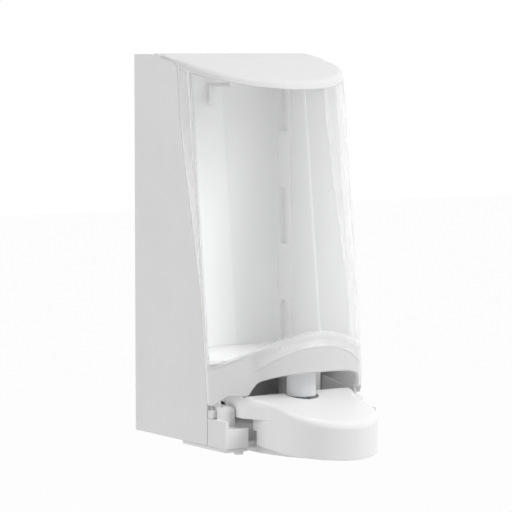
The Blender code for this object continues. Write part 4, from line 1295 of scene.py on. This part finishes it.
@dataclass
class PushLever:
    """Hollow round-nosed tongue with a soft top rim, on two arms. Millimetres, depth forward of the wall.

    Its outline narrows over the blend from the arms' shoulders to the tongue's half width, and ends in a
    rounded cap. The top and the skirt have their heights at the gauge depth and fall from there. The arms'
    lower edge is at arm_z and runs beside the tongue to arm_depth, off it by cheek_gap. The tongue's own
    rear edge steps down to heel_z at heel_depth, and to the skirt at tongue_back. Between the arms the top
    ends at top_back.
    """

    half: float = 35.0
    shoulder: float = 44.2
    shoulder_back: float = 72.5
    shoulder_middle: float = 86.0
    shoulder_front: float = 100.0
    blend: float = 22.0
    length: float = 167.0
    cap: float = 36.4
    cap_power: float = 1.82
    wall: float = 2.5
    top_at_gauge: float = 32.5
    top_slope: float = 0.188
    skirt_at_gauge: float = 1.5
    skirt_slope: float = 0.078
    gauge: float = 100.0
    rim_round: float = 4.6
    top_back: float = 102.0
    arm_z: float = 18.3
    arm_depth: float = 122.0
    heel_z: float = 10.0
    heel_depth: float = 97.0
    tongue_back: float = 106.0
    cheek_gap: float = 0.3
    pivot: Point2 = (-80.0, 22.0)
    hub: float = 5.0
    bore: float = 2.8
    pump_y: float = -106.0
    aperture: float = 11.2
    aperture_drop: float = 7.5
    edge: float = 0.35
    edge_angle: float = 40.0
    finish: MouldedPlastic = MouldedPlastic(
        Slot.LEVER, (0.86, 0.86, 0.858), (0.84, 0.842, 0.842), (0.29, 0.38),
        relief=(FLOW_WAVES, SMOOTHER_GRAIN),
    )

    def top_z(self, y: float) -> float:
        """Height of the sloping top."""
        return self.top_at_gauge - self.top_slope * (-y - self.gauge)

    def skirt_z(self, y: float) -> float:
        """Height of the skirt's lower edge."""
        return self.skirt_at_gauge - self.skirt_slope * (-y - self.gauge)

    def outline(self, inset: float, shoulder: float) -> list[Point2]:
        """The lever in plan, as (x, y), from its right shoulder round the nose to the left one.

        Args:
            inset: How far inside the outer face.
            shoulder: Half width over the shoulders.

        Returns:
            The closed outline.
        """
        half, wide = self.half - inset, shoulder - inset
        right = [(wide, -depth) for depth in (self.shoulder_back, self.shoulder_middle, self.shoulder_front)]
        turns = 14
        for i in range(1, turns + 1):
            share = i / turns
            x = half + (wide - half) * (1.0 + math.cos(math.pi * share)) / 2
            right.append((x, -(self.shoulder_front + self.blend * share)))
        back, power, steps = self.length - self.cap, 2.0 / self.cap_power, 40
        for i in range(steps + 1):
            angle = math.pi / 2 * i / steps
            x = half * max(math.cos(angle), 0.0) ** power
            right.append((x, -(back + (self.cap - inset) * math.sin(angle) ** power)))
        right[-1] = (0.0, right[-1][1])
        return right + [(-x, y) for x, y in reversed(right[:-1])]

    def solid(
        self, name: str, shoulder: float, inset: float, radius: float, low: Callable[[float], float]
    ) -> Piece:
        """The lever's form with its rounded top rim.

        Args:
            name: The solid's name.
            shoulder: Half width over the shoulders.
            inset: Distance inside the outer face, at the sides and the top.
            radius: Radius of the top rim.
            low: Height of the lower edge at a y.

        Returns:
            The solid.
        """
        plain = self.outline(inset, shoulder)
        rings: list[list[Point3]] = [[(x, y, low(y)) for x, y in plain]]
        steps = 8
        for step in range(steps + 1):
            angle = math.pi / 2 * step / steps
            drop = inset + radius * (1.0 - math.sin(angle))
            ring = self.outline(inset + radius * (1.0 - math.cos(angle)), shoulder)
            rings.append([(x, y, self.top_z(y) - drop) for x, y in ring])
        return stacked(name, rings)

    def build(self) -> None:
        """Build the lever and put it on its pins."""
        lever = self.solid("lever_tongue", self.shoulder, 0.0, self.rim_round, self.skirt_z)
        rear, back, heel, front = 0.0, -self.tongue_back, -self.heel_depth, -self.arm_depth
        under = [(rear, -FAR), (rear, self.arm_z), (heel, self.arm_z)]
        under += [(heel, self.heel_z), (back, self.heel_z), (back, -FAR)]
        beside = [(rear, -FAR), (rear, self.arm_z), (front, self.arm_z), (front, -FAR)]
        carve(lever, from_outline("under", under, -FAR, FAR, 0.0))
        for side in Side:
            near, far = side.span(self.half + self.cheek_gap, FAR)
            carve(lever, from_outline("beside", beside, near, far, 0.0))
        carve(lever, self.solid("hollow", self.half, self.wall, self.rim_round - self.wall, lambda y: -FAR))
        arm = self.shoulder - self.wall
        carve(lever, block("between", (-arm, -self.top_back, -FAR), (arm, FAR, FAR), 0.0))
        low = self.top_z(self.pump_y) - self.aperture_drop
        carve(lever, bar("aperture", self.aperture, (0.0, self.pump_y, low), (0.0, self.pump_y, FAR), 72))
        y, z = self.pivot
        for side in Side:
            near, far = side.span(arm - self.wall, self.shoulder)
            carve(lever, bar("hub", self.hub, (near, y, z), (far, y, z)), "UNION")
        carve(lever, bar("bore", self.bore, (-FAR, y, z), (FAR, y, z)))
        soften(lever, self.edge, self.edge_angle)
        hang(lever, Body.LEVER, Slot.LEVER, self.finish.build(), "push_lever")


@dataclass
class Pump:
    """The barrel under the shelf with its sprung piston, collar, spout and soft valve."""

    mouldings: tuple[MouldedPart, ...] = (
        MouldedPart("pump_barrel", Body.HOUSING, 0.25),
        MouldedPart("neck_collar", Body.HOUSING, 0.25),
        MouldedPart("pump_piston", Body.PLUNGER, 0.25),
        MouldedPart("outlet_nozzle", Body.PLUNGER, 0.2),
    )
    finish: MouldedPlastic = MouldedPlastic(
        Slot.PUMP, (0.74, 0.75, 0.76), (0.71, 0.72, 0.735), (0.36, 0.48), soak=0.15
    )

    def build(self, rubber: Material, steel: Material) -> None:
        """Build the pump.

        Args:
            rubber: Finish of the seal and valve.
            steel: Finish of the spring.
        """
        material = self.finish.build()
        for part in self.mouldings:
            part.build(Slot.PUMP, material)
        KeptSolid("pump_seal").dress(rubber)
        KeptSolid("anti_drip_valve").dress(rubber)
        KeptSolid("pump_spring").dress(steel)


@dataclass
class Fasteners:
    """Hinge and lever pins, screws and the buttons' springs."""

    prefixes: tuple[str, ...] = (
        "hinge_pin", "lever_pin", "latch_spring", "chassis_screw", "plate_screw", "shelf_screw",
    )

    def build(self, steel: Material) -> None:
        """Give every steel part its finish.

        Args:
            steel: The finish.
        """
        for node in sorted(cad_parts):
            if node.startswith(self.prefixes):
                KeptSolid(node).dress(steel)


@dataclass(frozen=True)
class SoftBox:
    """A rectangular studio lamp, aimed at a point. Sizes and places in metres.

    Attributes:
        name: The lamp's name.
        place: Where it hangs.
        size: Its width and height.
        power: Its power in watts.
        mirrored: Whether it shows in reflections.
        aim: What it faces.
    """

    name: str
    place: Point3
    size: Point2
    power: float
    mirrored: bool = True
    aim: Point3 = (0.0, -0.06, 0.12)

    def build(self) -> None:
        """Hang the lamp."""
        data = bpy.data.lights.new(self.name, "AREA")
        data.shape = "RECTANGLE"
        data.size, data.size_y = self.size
        data.energy = self.power
        lamp = placed(self.name, data)
        lamp.location = self.place
        toward = Vector(self.aim) - Vector(self.place)
        lamp.rotation_euler = toward.to_track_quat("-Z", "Y").to_euler()
        lamp.visible_glossy = self.mirrored


@dataclass(frozen=True)
class WhiteStage:
    """Pale floor and world that read as white, while the floor keeps the object's shadow.

    Attributes:
        floor_z: Height of the floor in metres.
        half_size: Half of its width in metres.
        floor_tone: Its own matte tone, linear.
        floor_gloss: Its roughness.
        floor_share: How much of it shows as plain white.
        world_light: Strength of the light from all round.
    """

    floor_z: float = -0.30
    half_size: float = 6.0
    floor_tone: float = 0.68
    floor_gloss: float = 0.9
    floor_share: float = 0.97
    world_light: float = 0.29

    def build(self) -> None:
        """Lay the floor and light the world."""
        mesh = bpy.data.meshes.new("pale_floor")
        corners = [(x * self.half_size, y * self.half_size, self.floor_z) for x, y in SQUARE]
        mesh.from_pydata(corners, [], [(0, 1, 2, 3)])
        floor = placed("pale_floor", mesh)
        floor.data.materials.append(self.floor_finish())
        self.light_world()

    def floor_finish(self) -> Material:
        """White to the camera and in reflections, with the shadow kept by its matte share.

        Returns:
            The floor's material.
        """
        made, tree, shader = new_material("pale_floor")
        fill(shader, Base_Color=(*(self.floor_tone,) * 3, 1.0), Roughness=self.floor_gloss)
        glow = add_node(tree, "ShaderNodeEmission", Color=WHITE, Strength=1.0)
        seen = self.seen_share(tree, self.floor_share)
        mix_shaders(tree, seen, shader, glow, tree.nodes["Material Output"])
        return made

    def seen_share(self, tree: Tree, share: float) -> Socket:
        """A factor that is the share for rays that see the background, and 0 for light.

        Args:
            tree: The nodes that get it.
            share: The factor where the background is seen.

        Returns:
            The factor.
        """
        rays = add_node(tree, "ShaderNodeLightPath").outputs
        seen = rays["Is Camera Ray"]
        for name in ("Is Glossy Ray", "Is Transmission Ray"):
            seen = calculate(tree, "MAXIMUM", seen, rays[name])
        return calculate(tree, "MULTIPLY", seen, share)

    def light_world(self) -> None:
        """A soft even world that shows as plain white."""
        world = bpy.data.worlds.new("white_room")
        world.use_nodes = True
        tree = world.node_tree
        tree.nodes.clear()
        light = add_node(tree, "ShaderNodeBackground", Color=WHITE, Strength=self.world_light)
        seen = add_node(tree, "ShaderNodeBackground", Color=WHITE, Strength=1.0)
        output = add_node(tree, "ShaderNodeOutputWorld")
        mix_shaders(tree, self.seen_share(tree, 1.0), light, seen, output)
        bpy.context.scene.world = world


@dataclass(frozen=True)
class Studio:
    """Camera, lamps and stage.

    Attributes:
        target: What the camera looks at, in metres.
        azimuth: How far it stands to the left of the front, in degrees.
        pitch: How far it looks down, in degrees.
        distance: Its distance from the target in metres.
        lens: Its focal length in millimetres, for a sensor of sensor_width.
        lamps: The lamps.
        stage: Floor and world.
    """

    target: Point3 = (-0.0037, -0.060, 0.11766)
    azimuth: float = 34.76
    pitch: float = 4.661
    distance: float = 1.6429
    lens: float = 175.7
    sensor_width: float = 36.0
    lamps: tuple[SoftBox, ...] = (
        SoftBox("overhead", (0.0, -0.30, 1.6), (1.2, 1.0), 3.9),
        SoftBox("front_key", (0.92, -1.20, 1.12), (0.8, 0.7), 23.0, False),
        SoftBox("right_strip", (0.75, -1.05, 0.35), (0.03, 1.5), 0.4),
        SoftBox("left_fill", (-1.43, -0.14, 0.3), (1.20, 1.6), 10.6, False),
        SoftBox("left_glow", (-1.43, -0.14, 0.3), (1.20, 1.6), 2.6),
    )
    stage: WhiteStage = WhiteStage()

    def build(self) -> None:
        """Set up the shot."""
        self.stage.build()
        for lamp in self.lamps:
            lamp.build()
        turn, tilt = math.radians(self.azimuth), math.radians(self.pitch)
        ahead = Vector((math.sin(turn) * math.cos(tilt), math.cos(turn) * math.cos(tilt), -math.sin(tilt)))
        data = bpy.data.cameras.new("camera")
        data.lens = self.lens
        data.sensor_width = self.sensor_width
        camera = placed("camera", data)
        camera.location = Vector(self.target) - ahead * self.distance
        camera.rotation_euler = ahead.to_track_quat("-Z", "Y").to_euler()
        bpy.context.scene.camera = camera
        bpy.context.scene.view_settings.view_transform = "Standard"


def main() -> None:
    """Build the sub-assemblies in order."""
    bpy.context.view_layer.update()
    rubber, steel = SoftRubber().build(), BrightSteel().build()
    Housing().build()
    Pump().build(rubber, steel)
    Fasteners().build(steel)
    PushLever().build()
    FrontCover().build()
    Studio().build()


if __name__ == "__main__":
    main()
